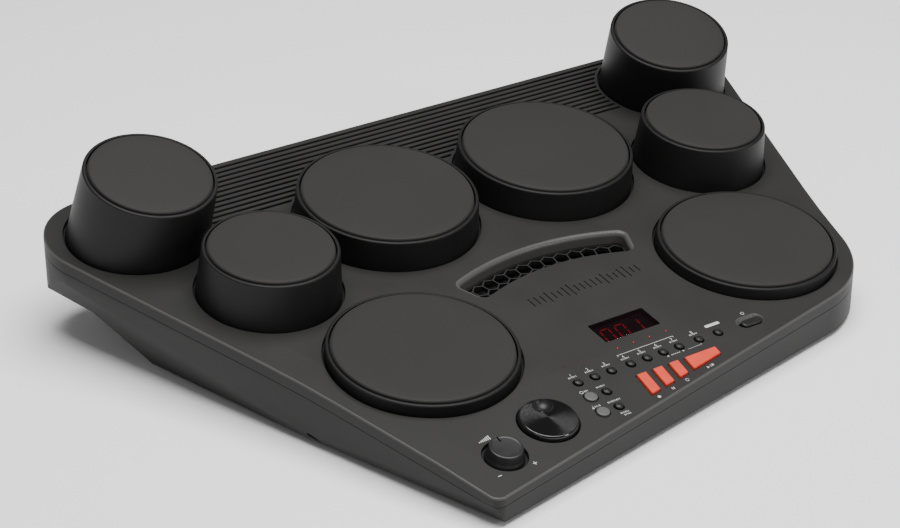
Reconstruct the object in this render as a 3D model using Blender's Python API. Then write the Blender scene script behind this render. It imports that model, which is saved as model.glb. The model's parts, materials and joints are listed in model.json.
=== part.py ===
"""Table-top electronic drum pad: a wedge-shaped case with eight tilted pads and a slanted control panel.

Frame: +Z up, +Y towards the back, +X to the player's right. The origin is the middle of the bottom
of the object's box. Lengths are metres.
"""

import math

import bmesh
import bpy
from mathutils import Matrix, Vector

# Case
HALF_WIDTH_LINE = 0.2275  # from the middle to each side at the waist
WAIST_Y = -0.0506
WAIST_RADIUS = 0.8
SIDE_RUN_FRONT = 0.286  # sideways per metre of depth, in front of the waist
SIDE_RUN_BACK = 0.3686  # and behind it
BACK_Y = 0.2060
BACK_RADIUS = 0.048
FRONT_EDGE_Y = -0.1719  # where the front edge crosses the middle
FRONT_EDGE_RUN = 0.1936  # the front edge runs back towards the right
FRONT_LEFT_RADIUS = 0.008
FRONT_RIGHT_RADIUS = 0.080
WALL = 0.0025
GAP = 0.0003  # between pieces that touch
BASE_Z = 0.004  # underside of the case, held up by the feet
DECK_Z = 0.0542  # height of the deck over the origin
DECK_SLOPE = math.radians(8.0)
PANEL_CREASE_Y = -0.121
PANEL_SLOPE = math.radians(10.2)
SEAM_DROP = 0.010  # the seam between the two halves, under the deck
BAND_WIDTH = 0.026  # outer strip of the deck that slopes down to the sides
BAND_DROP = 0.0012
BELLY_TILT = math.radians(23.5)  # how far the lower sides lean in
BELLY_BEARING = math.radians(16.4)
BELLY_POINT = (0.2300, -0.0615, 0.0147)
REAR_STEP_Y = 0.093  # where the flat underside starts to rise
REAR_STEP_RUN = 0.0374
REAR_STEP_RISE = 0.0313
REAR_UNDER_SLOPE = 0.111

# Pads: name, rim centre, groove radius, forward and inward tilt, base centre, base radius
PADS = (
    ("tall", (0.2320, 0.1357, 0.1248), 0.0442, 16.5, 3.7, (0.2380, 0.1499), 0.0512),
    ("side", (0.1910, 0.0443, 0.0945), 0.0443, 8.4, 0.3, (0.1914, 0.0484), 0.0513),
    ("centre", (0.0708, 0.0834, 0.0883), 0.0629, 8.7, 0.3, (0.0705, 0.0857), 0.0680),
    ("front", (0.1415, -0.0656, 0.0523), 0.0624, 7.5, 0.3, (0.1409, -0.0646), 0.0666),
)
HOLE_CLEARANCE = 0.0007  # half the gap round each tower
RIM_WIDTH = 0.003
POCKET_DEPTH = 0.005
LEDGE_WIDTH = 0.008
PAD_SEGMENTS = 32

# Controls, placed on the slanted panel
ROW_PITCH = 0.0158
ROW_Y = -0.1368
SMALL_PITCH = 0.014
SMALL_GROUPS = ((-0.0668, 3), (-0.0224, 4), (0.0370, 1), (0.0540, 1))
SMALL_RADIUS = 0.0033
GREY_RADIUS = 0.0048
COLUMN_LEAN = 0.14  # the columns of buttons lean towards the left at the front
CLICK_X = -0.0530
GREY_X = -0.0662
ORANGE_LEFTS = ((-0.0276, 0.0080), (-0.0139, 0.0080), (-0.0001, 0.0080), (0.0136, 0.0270))
ORANGE_BACK_Y = -0.1489
ORANGE_FRONT_Y = -0.1640
BUTTON_GAP = 0.0004
KNOB_AT = (-0.1531, -0.1737)
KNOB_RADIUS = 0.0117
RECESS_RADIUS = 0.015
DIAL_AT = (-0.1085, -0.1596)
DIAL_RADIUS = 0.0205
DIAL_HEIGHT = 0.0036
DIMPLE_AT = (0.0036, 0.0105)  # finger dimple, from the dial's middle
POWER_AT = (0.0832, -0.1380)
POWER_SIZE = (0.0168, 0.0066)
BOARD_DEPTH = 0.0080  # top of the panel board under the panel's surface

# Display, port and speakers, placed on the deck
WINDOW_AT = (0.0012, -0.0997)
WINDOW_SIZE = (0.0465, 0.0207)
PORT_CENTRE_Y = -0.1926
PORT_RADII = (0.1750, 0.1990)
PORT_HALF_ANGLE = math.radians(21.5)
PORT_DEPTH = 0.013
SPEAKER_AT = (0.1500, 0.1020)
SPEAKER_RADIUS = 0.033

# Battery bay and rear sockets
BAY_AT = (0.0, -0.020)
BAY_SIZE = (0.165, 0.060, 0.028)
SOCKET_PANEL_X = 0.0
SOCKET_PANEL_Z = 0.0585
SOCKET_PANEL_SIZE = (0.130, 0.017)
JACK_XS = (-0.045, -0.018, 0.009)
JACK_RADIUS = 0.0034
JACK_LENGTH = 0.014

FEET = ((-0.165, -0.178), (0.165, -0.112), (-0.212, 0.068), (0.212, 0.068))
FOOT_RADIUS = 0.008

COLOURS = {
    "case_plastic": ((0.052, 0.050, 0.048), 0.55, 0.0),
    "tower_plastic": ((0.048, 0.046, 0.045), 0.50, 0.0),
    "pad_rubber": ((0.055, 0.052, 0.050), 0.70, 0.0),
    "orange_plastic": ((0.760, 0.160, 0.100), 0.45, 0.0),
    "grey_plastic": ((0.250, 0.250, 0.250), 0.45, 0.0),
    "button_plastic": ((0.030, 0.030, 0.030), 0.40, 0.0),
    "gloss_plastic": ((0.010, 0.010, 0.010), 0.15, 0.0),
    "smoked_window": ((0.012, 0.005, 0.008), 0.08, 0.0),
    "circuit_board": ((0.020, 0.110, 0.050), 0.50, 0.0),
    "sensor_steel": ((0.600, 0.600, 0.580), 0.35, 1.0),
    "speaker_cone": ((0.030, 0.030, 0.032), 0.80, 0.0),
    "foot_rubber": ((0.020, 0.020, 0.020), 0.85, 0.0),
}


def clear_scene():
    for obj in list(bpy.data.objects):
        bpy.data.objects.remove(obj, do_unlink=True)


def make_material(name):
    colour, roughness, metallic = COLOURS[name]
    material = bpy.data.materials.new(name)
    material.use_nodes = True
    shader = material.node_tree.nodes["Principled BSDF"]
    shader.inputs["Base Color"].default_value = (*colour, 1.0)
    shader.inputs["Roughness"].default_value = roughness
    shader.inputs["Metallic"].default_value = metallic
    material.diffuse_color = (*colour, 1.0)
    return material


def deck_z(y):
    return DECK_Z + math.tan(DECK_SLOPE) * y


def panel_z(y):
    return deck_z(PANEL_CREASE_Y) + math.tan(PANEL_SLOPE) * (y - PANEL_CREASE_Y)


def on_deck(x, y):
    return Matrix.Translation((x, y, deck_z(y))) @ Matrix.Rotation(DECK_SLOPE, 4, "X")


def on_panel(x, y):
    return Matrix.Translation((x, y, panel_z(y))) @ Matrix.Rotation(PANEL_SLOPE, 4, "X")


def skin(bm, rings, loop=False):
    """Quads between rings of equal count. The ends are capped, or joined to each other in a loop."""
    rows = [[bm.verts.new(point) for point in ring] for ring in rings]
    count = len(rows[0])
    pairs = list(zip(rows, rows[1:]))
    if loop:
        pairs.append((rows[-1], rows[0]))
    for lower, upper in pairs:
        for i in range(count):
            j = (i + 1) % count
            bm.faces.new((lower[i], lower[j], upper[j], upper[i]))
    if not loop:
        bm.faces.new(rows[0][::-1])
        bm.faces.new(rows[-1])


def circle(radius, z, segments, matrix=None, centre=(0.0, 0.0)):
    ring = []
    for i in range(segments):
        angle = math.tau * i / segments
        point = Vector((centre[0] + radius * math.cos(angle), centre[1] + radius * math.sin(angle), z))
        ring.append(matrix @ point if matrix else point)
    return ring


def place(name, bm, material, matrix=None):
    bmesh.ops.recalc_face_normals(bm, faces=bm.faces)
    mesh = bpy.data.meshes.new(name)
    bm.to_mesh(mesh)
    bm.free()
    mesh.shade_smooth()
    mesh.set_sharp_from_angle(angle=math.radians(35))
    obj = bpy.data.objects.new(name, mesh)
    bpy.context.scene.collection.objects.link(obj)
    obj.matrix_world = matrix or Matrix.Identity(4)
    if material:
        mesh.materials.append(MATERIALS[material])
    return obj


def cutter(name, bm, matrix=None):
    obj = place(name, bm, None, matrix)
    obj.hide_render = True
    obj.display_type = "WIRE"
    return obj


def boolean(obj, other, operation="DIFFERENCE"):
    modifier = obj.modifiers.new(other.name, "BOOLEAN")
    modifier.operation = operation
    modifier.object = other


def lathe(name, profile, material, matrix, segments=16):
    """A turned piece: profile is (radius, z) from the top down."""
    bm = bmesh.new()
    skin(bm, [circle(radius, z, segments) for radius, z in profile])
    return place(name, bm, material, matrix)


def box_rings(size, zs, centre=(0.0, 0.0)):
    half_x = size[0] / 2
    half_y = size[1] / 2
    corners = ((-half_x, -half_y), (half_x, -half_y), (half_x, half_y), (-half_x, half_y))
    return [[Vector((centre[0] + x, centre[1] + y, z)) for x, y in corners] for z in zs]


# Outlines


def unit(start, end):
    return (Vector(end[:2]) - Vector(start[:2])).normalized()


def inset_corners(corners, inset):
    """The corners (x, y, radius) of an anticlockwise outline, moved inwards."""
    moved = []
    for i, (x, y, radius) in enumerate(corners):
        before = unit(corners[i - 1], corners[i])
        after = unit(corners[i], corners[(i + 1) % len(corners)])
        normals = Vector((-before.y, before.x)), Vector((-after.y, after.x))
        shift = (normals[0] + normals[1]) * (inset / (1 + normals[0].dot(normals[1])))
        inwards = math.copysign(inset, before.cross(after))
        moved.append((x + shift.x, y + shift.y, max(radius - inwards, 0.0) if radius else 0.0))
    return moved


def rounded(corners, step=math.radians(9)):
    """Points of an outline through (x, y, radius) corners, with an arc at each radius."""
    points = []
    for i, corner in enumerate(corners):
        here = Vector(corner[:2])
        back = unit(corner, corners[i - 1])
        ahead = unit(corner, corners[(i + 1) % len(corners)])
        half = back.angle(ahead) / 2
        radius = corner[2]
        if radius == 0.0:
            points.append(here)
            continue
        centre = here + (back + ahead).normalized() * (radius / math.sin(half))
        start = here + back * (radius / math.tan(half)) - centre
        sweep = math.copysign(math.pi - 2 * half, ahead.cross(back))
        count = max(2, math.ceil(abs(sweep) / step))
        for k in range(count + 1):
            points.append(centre + Matrix.Rotation(sweep * k / count, 2) @ start)
    return points


def case_corners():
    """The case in plan, anticlockwise from the front-left corner."""
    waist_front = HALF_WIDTH_LINE - SIDE_RUN_FRONT * WAIST_Y  # a side line's half width at y = 0
    left_y = (FRONT_EDGE_Y - FRONT_EDGE_RUN * waist_front) / (1 + FRONT_EDGE_RUN * SIDE_RUN_FRONT)
    right_y = (FRONT_EDGE_Y + FRONT_EDGE_RUN * waist_front) / (1 - FRONT_EDGE_RUN * SIDE_RUN_FRONT)
    back_x = HALF_WIDTH_LINE + SIDE_RUN_BACK * (BACK_Y - WAIST_Y)
    return [
        (-(waist_front + SIDE_RUN_FRONT * left_y), left_y, FRONT_LEFT_RADIUS),
        (waist_front + SIDE_RUN_FRONT * right_y, right_y, FRONT_RIGHT_RADIUS),
        (HALF_WIDTH_LINE, WAIST_Y, WAIST_RADIUS),
        (back_x, BACK_Y, BACK_RADIUS),
        (-back_x, BACK_Y, BACK_RADIUS),
        (-HALF_WIDTH_LINE, WAIST_Y, WAIST_RADIUS),
    ]


# Case


def keep_below(bm, point, normal):
    """Cuts the closed body flat and drops what lies on the normal's side."""
    everything = bm.verts[:] + bm.edges[:] + bm.faces[:]
    bmesh.ops.bisect_plane(bm, geom=everything, plane_co=point, plane_no=normal, clear_outer=True)
    bmesh.ops.holes_fill(bm, edges=[edge for edge in bm.edges if edge.is_boundary])


def case_body(inset):
    """The case's outer form, or its hollow when inset is the wall. Its rear step is cut afterwards."""
    bm = bmesh.new()
    outline = rounded(inset_corners(case_corners(), inset))
    skin(bm, [[Vector((*point, z)) for point in outline] for z in (-0.05, 0.20)])
    bmesh.ops.recalc_face_normals(bm, faces=bm.faces)
    deck_up = Vector((0, -math.sin(DECK_SLOPE), math.cos(DECK_SLOPE)))
    panel_up = Vector((0, -math.sin(PANEL_SLOPE), math.cos(PANEL_SLOPE)))
    keep_below(bm, Vector((0, 0, DECK_Z)) - deck_up * inset, deck_up)
    crease = Vector((0, PANEL_CREASE_Y, panel_z(PANEL_CREASE_Y)))
    keep_below(bm, crease - panel_up * inset, panel_up)
    keep_below(bm, Vector((0, 0, BASE_Z + inset)), Vector((0, 0, -1)))
    for side in (-1, 1):
        band_edge = Vector((side * (HALF_WIDTH_LINE - BAND_WIDTH), WAIST_Y, deck_z(WAIST_Y)))
        along = Vector((side * SIDE_RUN_BACK, 1, math.tan(DECK_SLOPE))).normalized()
        outwards = along.cross(deck_up) * side
        band_up = (deck_up + outwards * (BAND_DROP / BAND_WIDTH)).normalized()
        keep_below(bm, band_edge - band_up * inset, band_up)
        lean = math.cos(BELLY_TILT)
        belly_out = Vector(
            (side * lean * math.cos(BELLY_BEARING), -lean * math.sin(BELLY_BEARING), -math.sin(BELLY_TILT))
        )
        belly_at = Vector((side * BELLY_POINT[0], BELLY_POINT[1], BELLY_POINT[2]))
        keep_below(bm, belly_at - belly_out * inset, belly_out)
    return bm


def rear_step(name, inset):
    """What is taken from under the back of the case."""
    top_y = REAR_STEP_Y + REAR_STEP_RUN
    top_z = BASE_Z + REAR_STEP_RISE
    far = 0.1
    corners = [
        (REAR_STEP_Y - far * REAR_STEP_RUN, BASE_Z - far * REAR_STEP_RISE, 0.0),
        (top_y + far, -far, 0.0),
        (top_y + 2 * far, top_z + 2 * far * REAR_UNDER_SLOPE, 0.0),
        (top_y, top_z, 0.0),
    ]
    bm = bmesh.new()
    profile = inset_corners(corners, -inset)
    skin(bm, [[Vector((x, point[0], point[1])) for point in profile] for x in (-0.4, 0.4)])
    return cutter(name, bm)


def seam_plane(lift):
    up = Vector((0, -math.sin(DECK_SLOPE), math.cos(DECK_SLOPE)))
    return Vector((0, 0, DECK_Z - SEAM_DROP + lift)), up


def button_outline(left, width, grow):
    """An orange button in plan, on the panel: its front edge follows the case's front edge."""
    corners = []
    for x, at_front in ((left, True), (left + width, True), (left + width, False), (left, False)):
        y = ORANGE_BACK_Y
        if at_front:
            y = ORANGE_FRONT_Y + FRONT_EDGE_RUN * x
        corners.append((x + COLUMN_LEAN * (y - ORANGE_BACK_Y), y, 0.0))
    return [(x, y) for x, y, _ in inset_corners(corners, -grow)]


def orange_rings(left, width, steps):
    """Rings of an orange button, one for each (growth, height over the panel)."""
    lift = Vector((0, -math.sin(PANEL_SLOPE), math.cos(PANEL_SLOPE)))
    rings = []
    for grow, height in steps:
        outline = button_outline(left, width, grow)
        rings.append([Vector((x, y, panel_z(y))) + lift * height for x, y in outline])
    return rings


def port_outline(shrink):
    """The port in plan: a band between two arcs, its ends square to them."""
    inner = PORT_RADII[0] + shrink
    outer = PORT_RADII[1] - shrink
    half = PORT_HALF_ANGLE - shrink / inner
    steps = 10
    angles = [half * (2 * k / steps - 1) for k in range(steps + 1)]
    points = [(inner * math.sin(a), PORT_CENTRE_Y + inner * math.cos(a)) for a in angles]
    points += [(outer * math.sin(a), PORT_CENTRE_Y + outer * math.cos(a)) for a in reversed(angles)]
    return points


def round_buttons():
    """Name, x, y, radius and material of each round button."""
    buttons = []
    for first, count in SMALL_GROUPS:
        for k in range(count):
            x = first + k * SMALL_PITCH
            buttons.append((f"function_button_{len(buttons) + 1}", x, ROW_Y, SMALL_RADIUS, "button_plastic"))
    for row, (small, grey) in enumerate((("click_button", "kit_button"), ("tempo_button", "song_button")), 1):
        y = ROW_Y - row * ROW_PITCH
        shift = -COLUMN_LEAN * row * ROW_PITCH
        buttons.append((small, CLICK_X + shift, y, SMALL_RADIUS, "button_plastic"))
        buttons.append((grey, GREY_X + shift, y, GREY_RADIUS, "grey_plastic"))
    return buttons


def upper_case():
    bm = case_body(0.0)
    point, up = seam_plane(GAP / 2)
    keep_below(bm, point, -up)
    case = place("upper_case", bm, "case_plastic")
    hollow = cutter("upper_hollow", case_body(WALL))
    boolean(case, hollow)

    cups = bmesh.new()
    for (x, y), radius in ((KNOB_AT, RECESS_RADIUS), (DIAL_AT, DIAL_RADIUS)):
        skin(cups, [circle(radius + 0.002, z, 24, on_panel(x, y)) for z in (-0.0012, -0.0055)])
    boolean(case, cutter("control_cups", cups), "UNION")

    holes = bmesh.new()
    for _, _, _, _, _, base, radius in PADS:
        for side in (-1, 1):
            rings = [circle(radius + HOLE_CLEARANCE, z, PAD_SEGMENTS, on_deck(side * base[0], base[1])) for z in (-0.006, 0.006)]
            skin(holes, rings)
    for _, x, y, radius, _ in round_buttons():
        skin(holes, [circle(radius + BUTTON_GAP, z, 16, on_panel(x, y)) for z in (-0.004, 0.002)])
    for left, width in ORANGE_LEFTS:
        skin(holes, orange_rings(left, width, ((BUTTON_GAP, -0.004), (BUTTON_GAP, 0.002))))
    for (x, y), radius, depth in ((KNOB_AT, RECESS_RADIUS, 0.003), (DIAL_AT, DIAL_RADIUS + BUTTON_GAP, 0.0036)):
        skin(holes, [circle(radius, z, 24, on_panel(x, y)) for z in (-depth, 0.002)])
    grown = (POWER_SIZE[0] + 2 * BUTTON_GAP, POWER_SIZE[1] + 2 * BUTTON_GAP)
    skin(holes, [[on_panel(*POWER_AT) @ p for p in ring] for ring in box_rings(grown, (-0.004, 0.002))])
    window = (WINDOW_SIZE[0] + 2 * GAP, WINDOW_SIZE[1] + 2 * GAP)
    skin(holes, [[on_deck(*WINDOW_AT) @ p for p in ring] for ring in box_rings(window, (-0.004, 0.002))])
    skin(holes, [[Vector((x, y, deck_z(y) + z)) for x, y in port_outline(0.0)] for z in (-0.006, 0.002)])
    boolean(case, cutter("case_holes", holes))

    shafts = bmesh.new()
    for x, y in (KNOB_AT, DIAL_AT):
        skin(shafts, [circle(0.0035, z, 12, on_panel(x, y)) for z in (-0.008, -0.001)])
    boolean(case, cutter("shaft_holes", shafts))


def lower_case():
    bm = case_body(0.0)
    point, up = seam_plane(-GAP / 2)
    keep_below(bm, point, up)
    case = place("lower_case", bm, "case_plastic")
    boolean(case, rear_step("rear_step_outside", 0.0))
    hollow = cutter("lower_hollow", case_body(WALL))
    boolean(hollow, rear_step("rear_step_inside", WALL))
    boolean(case, hollow)

    openings = bmesh.new()
    bay = (BAY_SIZE[0], BAY_SIZE[1])
    skin(openings, box_rings(bay, (BASE_Z - 0.002, BASE_Z + 0.006), BAY_AT))
    width, height = SOCKET_PANEL_SIZE
    socket = Matrix.Translation((SOCKET_PANEL_X, BACK_Y, SOCKET_PANEL_Z)) @ Matrix.Rotation(math.pi / 2, 4, "X")
    rings = box_rings((width + 2 * GAP, height + 2 * GAP), (-0.004, 0.006))
    skin(openings, [[socket @ point for point in ring] for ring in rings])
    boolean(case, cutter("lower_openings", openings))


# Pads


def pad_frames(pad, side):
    """Where the pad's rim and its base lie: two matrices whose +Z axes are their normals."""
    _, rim, _, forward, inward, base, _ = pad
    turn = Matrix.Rotation(math.radians(-side * inward), 4, "Y") @ Matrix.Rotation(math.radians(forward), 4, "X")
    rim_frame = Matrix.Translation((side * rim[0], rim[1], rim[2])) @ turn
    return rim_frame, on_deck(side * base[0], base[1])


def pad_assembly(pad, side, name):
    """A tower that narrows to its tilted rim, the rubber in it, and the sensor plate under the rubber."""
    groove = pad[2]
    rim_frame, base_frame = pad_frames(pad, side)
    to_rim = rim_frame.inverted() @ base_frame
    rim_radius = groove + RIM_WIDTH
    pocket = groove + 0.0006
    ledge = groove - LEDGE_WIDTH
    base = pad[6] - HOLE_CLEARANCE
    rings = [circle(radius, z, PAD_SEGMENTS) for radius, z in (
        (rim_radius, -0.0012),
        (rim_radius - 0.0008, 0.0),
        (pocket, 0.0),
        (pocket, -POCKET_DEPTH),
        (ledge, -POCKET_DEPTH),
        (ledge, -POCKET_DEPTH - 0.002),
    )]
    rings += [circle(radius, z, PAD_SEGMENTS, to_rim) for radius, z in (
        (base - WALL, -0.0050),
        (base + 0.0020, -0.0050),
        (base + 0.0020, -0.0034),
        (base, -0.0034),
    )]
    bm = bmesh.new()
    skin(bm, rings, loop=True)
    place(f"pad_tower_{name}", bm, "tower_plastic", rim_frame)

    rubber = groove - 0.0006
    floor = GAP - POCKET_DEPTH
    profile = ((rubber - 0.012, 0.0018), (rubber - 0.0024, 0.0013), (rubber, -0.0006), (rubber, floor))
    lathe(f"rubber_pad_{name}", profile, "pad_rubber", rim_frame, PAD_SEGMENTS)

    plate = ledge - 2 * GAP
    top = floor - GAP
    profile = ((plate, top), (plate, top - 0.001), (0.0135, top - 0.001), (0.0135, top - 0.0016))
    lathe(f"sensor_plate_{name}", profile, "sensor_steel", rim_frame, 24)


def all_pads():
    for pad in PADS:
        for side, hand in ((-1, "left"), (1, "right")):
            pad_assembly(pad, side, f"{pad[0]}_{hand}")


# Controls


def all_buttons():
    foot = GAP * 4 - BOARD_DEPTH  # leaves the travel over the board
    for name, x, y, radius, material in round_buttons():
        profile = (
            (radius - 0.0006, 0.0012),
            (radius, 0.0006),
            (radius, -0.0029),
            (radius + 0.0008, -0.0029),
            (radius + 0.0008, foot),
        )
        lathe(name, profile, material, on_panel(x, y))
    for number, (left, width) in enumerate(ORANGE_LEFTS, 1):
        bm = bmesh.new()
        steps = ((-0.0006, 0.0019), (0.0, 0.0013), (0.0, -0.0029), (0.0008, -0.0029), (0.0008, foot))
        skin(bm, orange_rings(left, width, steps))
        place(f"orange_button_{number}", bm, "orange_plastic")
    bm = bmesh.new()
    width, depth = POWER_SIZE
    for_skin = []
    for grow, height in ((-0.0008, 0.0015), (0.0, 0.0008), (0.0, -0.0029), (0.0012, -0.0029), (0.0012, foot)):
        for_skin += box_rings((width + 2 * grow, depth + 2 * grow), (height,))
    skin(bm, for_skin)
    place("power_button", bm, "button_plastic", on_panel(*POWER_AT))


def volume_knob():
    profile = (
        (KNOB_RADIUS - 0.0014, 0.0072),
        (KNOB_RADIUS - 0.0004, 0.0066),
        (KNOB_RADIUS, -0.0026),
        (0.0030, -0.0026),
        (0.0030, GAP - BOARD_DEPTH),
    )
    knob = lathe("volume_knob", profile, "button_plastic", on_panel(*KNOB_AT), 24)
    mark = bmesh.new()
    skin(mark, box_rings((0.0010, 0.0050), (0.0066, 0.0080), (0.0, KNOB_RADIUS - 0.0035)))
    boolean(knob, cutter("knob_mark", mark, on_panel(*KNOB_AT)))


def jog_dial():
    profile = (
        (DIAL_RADIUS - 0.0018, DIAL_HEIGHT),
        (DIAL_RADIUS - 0.0004, DIAL_HEIGHT - 0.0020),
        (DIAL_RADIUS, -0.0032),
        (0.0030, -0.0032),
        (0.0030, GAP - BOARD_DEPTH),
    )
    dial = lathe("jog_dial", profile, "gloss_plastic", on_panel(*DIAL_AT), 32)
    dimple = bmesh.new()
    steps = ((0.0030, DIAL_HEIGHT - 0.0014), (0.0060, DIAL_HEIGHT + 0.0001))
    skin(dimple, [circle(radius, z, 12, None, DIMPLE_AT) for radius, z in steps])
    boolean(dial, cutter("dial_dimple", dimple, on_panel(*DIAL_AT)))


# Fixed pieces


def display():
    bm = bmesh.new()
    skin(bm, box_rings(WINDOW_SIZE, (-0.0022, -0.0002)))
    place("display_window", bm, "smoked_window", on_deck(*WINDOW_AT))
    bm = bmesh.new()
    skin(bm, box_rings((WINDOW_SIZE[0] - 0.002, WINDOW_SIZE[1] - 0.002), (-0.0095, -0.0030)))
    place("display_module", bm, "gloss_plastic", on_deck(*WINDOW_AT))


def port_grille():
    """The liner of the sound port: a walled arc whose floor is the grille."""
    height = Vector((0, 0, 1))
    rings = []
    for shrink, z in ((GAP, -0.0004), (0.0015, -0.0004), (0.0015, 0.0016 - PORT_DEPTH)):
        rings.append([Vector((x, y, deck_z(y))) + height * z for x, y in port_outline(shrink)])
    outside = [Vector((x, y, deck_z(y))) - height * PORT_DEPTH for x, y in port_outline(GAP)]
    bm = bmesh.new()
    skin(bm, [outside] + rings)
    place("port_grille", bm, "case_plastic")


def speakers():
    x, y = SPEAKER_AT
    profile = (
        (SPEAKER_RADIUS, -0.0115),
        (SPEAKER_RADIUS, -0.0130),
        (SPEAKER_RADIUS - 0.006, -0.0150),
        (0.0150, -0.0220),
        (0.0150, -0.0290),
    )
    for side, hand in ((-1, "left"), (1, "right")):
        lathe(f"speaker_{hand}", profile, "speaker_cone", on_deck(side * x, y), 28)


def boards():
    """The panel's board follows the slanted front edge. The main board lies flat behind it."""
    corners = (
        (-0.172, -0.1935),
        (0.096, -0.1416),
        (0.096, -0.1240),
        (-0.084, -0.1240),
        (-0.084, -0.1400),
        (-0.172, -0.1400),
    )
    lift = Vector((0, -math.sin(PANEL_SLOPE), math.cos(PANEL_SLOPE)))
    rings = []
    for depth in (BOARD_DEPTH, BOARD_DEPTH + 0.0016):
        rings.append([Vector((x, y, panel_z(y))) - lift * depth for x, y in corners])
    bm = bmesh.new()
    skin(bm, rings)
    place("panel_board", bm, "circuit_board")
    bm = bmesh.new()
    skin(bm, box_rings((0.150, 0.045), (0.0105, 0.0121), (0.0, -0.085)))
    place("main_board", bm, "circuit_board")


def battery_bay():
    length, width, height = BAY_SIZE
    cover = bmesh.new()
    skin(cover, box_rings((length - 2 * GAP, width - 2 * GAP), (BASE_Z, BASE_Z + WALL), BAY_AT))
    place("battery_cover", cover, "case_plastic")
    wall = 0.0016
    low = BASE_Z + WALL + GAP
    outer = (length + 2 * wall, width + 2 * wall)
    rings = box_rings(outer, (low + height + wall, low), BAY_AT)
    rings += box_rings((length, width), (low, low + height), BAY_AT)
    bm = bmesh.new()
    skin(bm, rings)
    place("battery_box", bm, "case_plastic")


def socket_panel():
    """Rear sockets: three large jacks, one small jack and the power inlet with its pin."""
    width, height = SOCKET_PANEL_SIZE
    facing = Matrix.Translation((SOCKET_PANEL_X, BACK_Y, SOCKET_PANEL_Z)) @ Matrix.Rotation(-math.pi / 2, 4, "X")
    bm = bmesh.new()
    rings = box_rings((width, height), (-0.0004, -0.0030))
    rings += box_rings((width - 0.010, height - 0.003), (-0.0030, -0.0030 - JACK_LENGTH))
    skin(bm, rings)
    panel = place("socket_panel", bm, "case_plastic", facing)
    bores = bmesh.new()
    for x, radius in [(x, JACK_RADIUS) for x in JACK_XS] + [(0.032, 0.0018)]:
        skin(bores, [circle(radius, z, 12, None, (x, 0.0)) for z in (0.002, -JACK_LENGTH)])
    inlet = [circle(0.0030, z, 12, None, (0.050, 0.0)) for z in (0.002, -0.009)]
    pin = [circle(0.0010, z, 12, None, (0.050, 0.0)) for z in (-0.009, -0.0015)]
    pin.append(circle(0.0004, -0.0010, 12, None, (0.050, 0.0)))
    skin(bores, inlet)
    boolean(panel, cutter("socket_bores", bores, facing))
    centre_pin = bmesh.new()
    pin[0] = circle(0.0010, -0.0100, 12, None, (0.050, 0.0))
    skin(centre_pin, pin)
    boolean(panel, cutter("inlet_pin", centre_pin, facing), "UNION")


def feet():
    for number, (x, y) in enumerate(FEET, 1):
        profile = ((FOOT_RADIUS, BASE_Z - GAP), (FOOT_RADIUS, 0.0012), (FOOT_RADIUS - 0.0012, 0.0))
        lathe(f"rubber_foot_{number}", profile, "foot_rubber", Matrix.Translation((x, y, 0)), 20)


clear_scene()
MATERIALS = {name: make_material(name) for name in COLOURS}
upper_case()
lower_case()
all_pads()
all_buttons()
volume_knob()
jog_dial()
display()
port_grille()
speakers()
boards()
battery_bay()
socket_panel()
feet()
bpy.context.view_layer.update()
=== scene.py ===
import json
import math

import bmesh
import bpy
from mathutils import Matrix, Vector

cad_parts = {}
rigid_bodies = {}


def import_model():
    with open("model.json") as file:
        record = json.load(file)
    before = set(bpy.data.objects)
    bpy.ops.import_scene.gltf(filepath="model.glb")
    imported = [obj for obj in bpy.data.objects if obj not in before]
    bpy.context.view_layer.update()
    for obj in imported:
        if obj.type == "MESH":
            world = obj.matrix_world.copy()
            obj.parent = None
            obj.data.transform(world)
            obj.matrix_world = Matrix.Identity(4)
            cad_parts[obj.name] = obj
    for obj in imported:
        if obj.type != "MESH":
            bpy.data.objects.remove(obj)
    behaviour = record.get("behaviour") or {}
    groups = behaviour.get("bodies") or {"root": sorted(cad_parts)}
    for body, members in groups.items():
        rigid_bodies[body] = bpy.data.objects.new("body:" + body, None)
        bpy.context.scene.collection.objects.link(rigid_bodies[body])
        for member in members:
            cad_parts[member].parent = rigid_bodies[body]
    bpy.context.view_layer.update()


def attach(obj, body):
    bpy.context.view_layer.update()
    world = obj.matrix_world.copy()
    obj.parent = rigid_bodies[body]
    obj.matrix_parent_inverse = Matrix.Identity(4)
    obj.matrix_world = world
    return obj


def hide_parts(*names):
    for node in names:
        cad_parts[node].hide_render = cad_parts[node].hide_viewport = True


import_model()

# Lengths are metres. +Y points to the back of the drum pad, +X to the player's right.

caseSizes = {
    "halfWidth": 0.2275,  # from the middle to each side at the waist
    "waistY": -0.0506,
    "waistRadius": 0.8,
    "sideRunFront": 0.286,  # sideways per metre of depth, in front of the waist
    "sideRunBack": 0.3686,  # and behind it
    "backY": 0.2060,
    "backRadius": 0.048,
    "frontEdgeY": -0.1719,
    "frontEdgeRun": 0.1936,
    "frontLeftRadius": 0.008,
    "frontRightRadius": 0.080,
    "wall": 0.0025,
    "gap": 0.0003,
    "baseZ": 0.004,
    "deckZ": 0.0542,
    "deckSlope": math.radians(8.0),
    "creaseY": -0.121,
    "panelSlope": math.radians(10.2),
    "seamDrop": 0.010,
    "bandWidth": 0.026,
    "bandDrop": 0.0012,
    "bellyTilt": math.radians(25.0),
    "bellies": (  # a point and the bearing of the leaning lower side, in front of the waist and behind it
        ((0.2263, -0.0549, 0.0102), math.radians(14.3)),
        ((0.2567, 0.0286, 0.0204), math.radians(17.1)),
    ),
    "ridgeRadius": 0.0011,
    "seamRadius": 0.00035,
    "outlineStep": math.radians(2.5),
}


# Shader maths

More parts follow.
